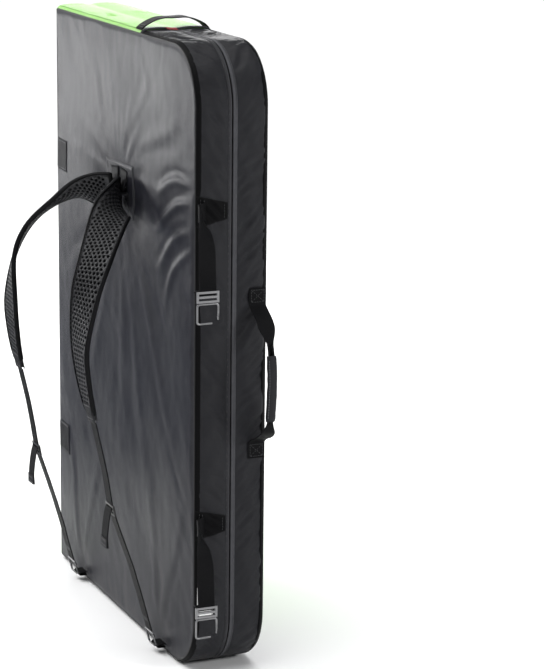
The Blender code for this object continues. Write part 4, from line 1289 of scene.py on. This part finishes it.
for label, side in (("left", -1), ("right", 1)):
    shoulder, lower, hook_body = label + "_shoulder_strap", label + "_lower_strap", label + "_harness_hook"
    pad_piece, strap = perforated_pad("shoulder_pad_" + label, side, shoulder, ["strap_pad_" + label])
    centres, across, normal, width, place = strap

    # Bound edge: one loop of tape round the whole pad.
    edge = width / 2 - 0.0027
    low_side, high_side = centres - across * edge[:, None], centres + across * edge[:, None]
    keep = slice(4, len(centres) - 3, 4)
    loop_points = np.concatenate([low_side[keep], high_side[keep][::-1]])
    loop_normals = np.concatenate([normal[keep], normal[keep][::-1]])
    closed_loop = resample(np.concatenate([np.concatenate([loop_points, loop_normals], 1),
                                           np.concatenate([loop_points[:1], loop_normals[:1]], 1)]), 320)[:-1]
    sweep("shoulder_binding_" + label, closed_loop[:, :3], closed_loop[:, 3:], circle(0.0042, 14, 0.62),
          "webbing", shoulder, ["strap_binding_" + label], closed=True,
          wear=np.abs(np.sin(np.arange(14) * math.pi / 7)))
    runs = []
    for sign in (1, -1):
        for v_sign in (1, -1):
            u = np.linspace(0.008, place[-1] - 0.010, 150)
            half = np.interp(u, place, width) / 2 - 0.0049
            runs.append((strap_map(strap, u, v_sign * half, sign * 0.0031),
                         strap_map(strap, u, v_sign * half, sign) - strap_map(strap, u, v_sign * half, 0)))
    stitches("shoulder_stitches_" + label, runs, shoulder, "dark_thread")

    # The root: a webbing bridge from the patch on the pad to the strap.
    root_u = np.array([0.0, 0.02])
    root = strap_map(strap, root_u, 0.0, 0.0)
    sewn_y = float(face_height(-1, harness_relief, side * 0.018, 0.752)) - 0.0026
    bridge = [(side * 0.020, sewn_y, 0.768), (side * 0.019, sewn_y - 0.0006, 0.756),
              (side * 0.018, sewn_y - 0.003, 0.745), tuple(root[0] + normal[0] * 0.001), tuple(root[1])]
    bridge_piece = webbing("shoulder_root_" + label, smooth_path(bridge, 24), (1, 0, 0), None, width=0.030,
                           thickness=0.0022, look="patch")
    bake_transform(bridge_piece)

    # The stitched cap at the lower end, where the webbing enters the pad.
    cap_u = np.linspace(place[-1] - 0.030, place[-1] + 0.0, 14)
    cap_share = (cap_u - cap_u[0]) / (cap_u[-1] - cap_u[0])
    cap_half = np.interp(cap_u, place, width) / 2 - 0.0035 * (1 - cap_share)
    for sign, tag_name in ((1, "outer"), (-1, "inner")):
        t = np.linspace(-1, 1, 14)
        U, T = np.meshgrid(cap_u, t, indexing="ij")
        H = 0.0040 - 0.0012 * T**6
        grid = strap_map(strap, np.minimum(U, place[-1]), T * cap_half[:, None], sign * H)
        outward = normal[-5] * sign
        cloth_piece("shoulder_cap_%s_%s" % (tag_name, label), grid, outward, "patch",
                    joined(T * 0.017, U), shoulder, (), np.exp(-(1 - np.abs(T)) / 0.1),
                    0.0009)
        cap_runs = []
        for u in (cap_u[0] + 0.003, cap_u[-1] - 0.006):
            reach = float(np.interp(u, cap_u, cap_half)) - 0.003
            line = np.linspace(-reach, reach, 12)
            cap_runs.append((strap_map(strap, np.full(12, u), line, sign * 0.0041), outward))
        stitches("shoulder_cap_stitches_%s_%s" % (tag_name, label), cap_runs, shoulder)

    # Webbing, slider and hook below the pad.
    def out_place(values):
        return np.array([side * values[0], HARNESS_Y - values[1], values[2]])

    top, slider, hook = out_place(STRAP_ROUTE[-1][0]), out_place(SLIDER_PLACE), out_place(HOOK_PLACE)
    down = unit(slider - top)
    face_out = unit(np.array([0, -1.0, 0]) - down * down.dot([0, -1, 0]))
    start = top + np.array([0, 0, -0.0015])
    upper_end = slider - down * 0.0006
    upper = smooth_path([start, start * 0.5 + upper_end * 0.5 - face_out * 0.002, upper_end], 30)
    webbing("upper_webbing_" + label, upper, (1, 0, 0), lower, replaced=["strap_upper_webbing_" + label])
    low_start = slider + down * 0.0006
    low_end = hook + np.array([0, 0, 0.0022])
    lower_route = smooth_path([low_start, low_start * 0.5 + low_end * 0.5 - face_out * 0.003, low_end], 60)
    webbing("lower_webbing_" + label, lower_route, (1, 0, 0), lower,
            replaced=["strap_lower_webbing_" + label])
    box_runs = []
    for share in (0.90, 0.93):
        spot = lower_route[int(share * 60)] + face_out * 0.0011
        box_runs.append(([spot + np.array([-0.011, 0, 0]), spot + np.array([0.011, 0, 0])], face_out))
    stitches("lower_webbing_stitches_" + label, box_runs, lower)
    tail_start = slider + face_out * 0.0028
    tail = [tail_start + np.array([0, 0, 0.004]), tail_start + face_out * 0.004 + np.array([0, 0, -0.010]),
            tail_start + face_out * 0.0075 + np.array([0, 0, -0.038]),
            tail_start + face_out * 0.0068 + np.array([0, 0, -0.060])]
    webbing("webbing_tail_" + label, smooth_path(tail, 24), (1, 0, 0), lower,
                         replaced=["strap_tail_" + label])
    tail_end = tail[-1] + face_out * 0.0022
    fold_back = smooth_path([tail_end + np.array([0, 0, 0.0005]), tail_end + np.array([0, 0, 0.008]),
                             tail_end + np.array([0, 0, 0.016])], 8)
    webbing("webbing_tail_fold_" + label, fold_back, (1, 0, 0), lower, look="patch")
    stitches("webbing_tail_stitches_" + label,
             [([tail_end + face_out * 0.0012 + np.array([-0.011, 0, z]),
                tail_end + face_out * 0.0012 + np.array([0.011, 0, z])], face_out) for z in (0.004, 0.012)],
             lower)
    wire_hook("harness_wire_hook_" + label, "harness_hook_" + label, hook_body, 0.036, 0.026, 0.011, 0.0017,
              Vector(hook), Matrix.Rotation(math.radians(16), 4, "X"))

    # The anchor loop sewn at the lower edge of the harness face.
    eye_y = HARNESS_Y - 0.0128
    loop_route = [(side * HOOK_PLACE[0], HARNESS_Y - 0.0006, 0.0150),
                  (side * HOOK_PLACE[0], HARNESS_Y - 0.006, 0.0150)]
    for number in range(9):
        angle = math.radians(90 + 180 * number / 8)
        loop_route.append((side * HOOK_PLACE[0], eye_y + 0.0021 * math.cos(angle),
                           0.0125 + 0.0021 * math.sin(angle)))
    loop_route += [(side * HOOK_PLACE[0], HARNESS_Y - 0.006, 0.0100),
                   (side * HOOK_PLACE[0], HARNESS_Y - 0.0006, 0.0100)]
    webbing("anchor_webbing_" + label, loop_route, (1, 0, 0), "harness_half",
            replaced=["anchor_loop_" + label], count=26)


# ---------------------------------------------------------------- finish of the kept CAD nodes
for name, look in (("strap_slider_left", "plastic"), ("strap_slider_right", "plastic"),
                   ("closing_adjuster_upper", "metal"), ("closing_adjuster_lower", "metal")):
    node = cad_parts[name]
    node.data.materials.clear()
    node.data.materials.append(LOOKS[look])
    edge = node.modifiers.new("soft_edges", "BEVEL")
    edge.width = 0.0005
    edge.segments = 3
    edge.limit_method = "ANGLE"
    edge.harden_normals = False


# ---------------------------------------------------------------- floor, lights and camera
FLOOR_REACH = 30.0
FLOOR_Z = -0.0015
FLAG_Z = 0.03


def stage_plane(name, low, high, z, colour, roughness):
    """A flat rectangle of the studio, not of the object."""
    mesh = bpy.data.meshes.new(name)
    corners = [(low[0], low[1], 0), (high[0], low[1], 0), (high[0], high[1], 0), (low[0], high[1], 0)]
    mesh.from_pydata(corners, [], [(0, 1, 2, 3)])
    mesh.materials.append(shader_of(name + "_surface", {"Base Color": colour, "Roughness": roughness})[0])
    plane = bpy.data.objects.new(name, mesh)
    plane.location.z = z
    bpy.context.scene.collection.objects.link(plane)
    return plane


stage_plane("floor", (-FLOOR_REACH, -FLOOR_REACH), (FLOOR_REACH, FLOOR_REACH), FLOOR_Z, (0.90, 0.90, 0.90, 1),
            0.8)

bpy.context.scene.view_settings.view_transform = "Standard"
world = bpy.data.worlds.new("studio")
bpy.context.scene.world = world
world.use_nodes = True
world.node_tree.nodes["Background"].inputs[0].default_value = (0.94, 0.97, 1.0, 1)
world.node_tree.nodes["Background"].inputs[1].default_value = 0.20


def aim(data, name, place, target):
    light = bpy.data.objects.new(name, data)
    light.location = place
    light.rotation_euler = (Vector(target) - Vector(place)).to_track_quat("-Z", "Y").to_euler()
    light.visible_camera = False
    bpy.context.scene.collection.objects.link(light)


def soft_light(name, place, target, size, power):
    data = bpy.data.lights.new(name, "AREA")
    data.shape = "RECTANGLE"
    data.size, data.size_y = size
    data.energy = power
    aim(data, name, place, target)


sun = bpy.data.lights.new("overhead", "SUN")
sun.energy = 3.25
sun.angle = math.radians(70)
aim(sun, "overhead", (-0.5, -0.8, 4.0), (0, 0, 0))
soft_light("sheen_side", (-1.5, -1.3, 1.75), (0.05, 0, 0.80), (1.2, 0.7), 26)
# A dark card that only reflections see, low on the harness side.
flag = stage_plane("flag", (-3.0, -2.2), (-0.55, -0.15), FLAG_Z, (0.10, 0.11, 0.14, 1), 0.9)
flag.visible_camera = flag.visible_shadow = flag.visible_diffuse = False
soft_light("sheen_low", (-2.6, -1.25, 0.66), (0.1, 0, 0.85), (0.9, 0.5), 17)
soft_light("sheen_back", (-3.5, 1.3, 1.55), (0, 0, 1.0), (2.4, 0.9), 42)
soft_light("wall_side", (2.6, 1.9, 1.5), (0.3, 0, 0.5), (0.5, 0.5), 46)

CAMERA_PLACE = (3.7508, -1.3787, 1.4201)
YAW, PITCH, ROLL_ANGLE = math.radians(66.628), math.radians(13.163), math.radians(0.633)
forward = Vector((-math.sin(YAW) * math.cos(PITCH), math.cos(YAW) * math.cos(PITCH), -math.sin(PITCH)))
right = forward.cross(Vector((0, 0, 1))).normalized()
up = right.cross(forward)
turned_right = right * math.cos(ROLL_ANGLE) + up * math.sin(ROLL_ANGLE)
turned_up = up * math.cos(ROLL_ANGLE) - right * math.sin(ROLL_ANGLE)
camera_data = bpy.data.cameras.new("camera")
camera_data.lens = 132.35
camera_data.sensor_width = 36.0
camera_data.sensor_fit = "AUTO"
camera = bpy.data.objects.new("camera", camera_data)
turning = Matrix((turned_right, turned_up, -forward)).transposed().to_4x4()
camera.matrix_world = Matrix.Translation(CAMERA_PLACE) @ turning
bpy.context.scene.collection.objects.link(camera)
bpy.context.scene.camera = camera
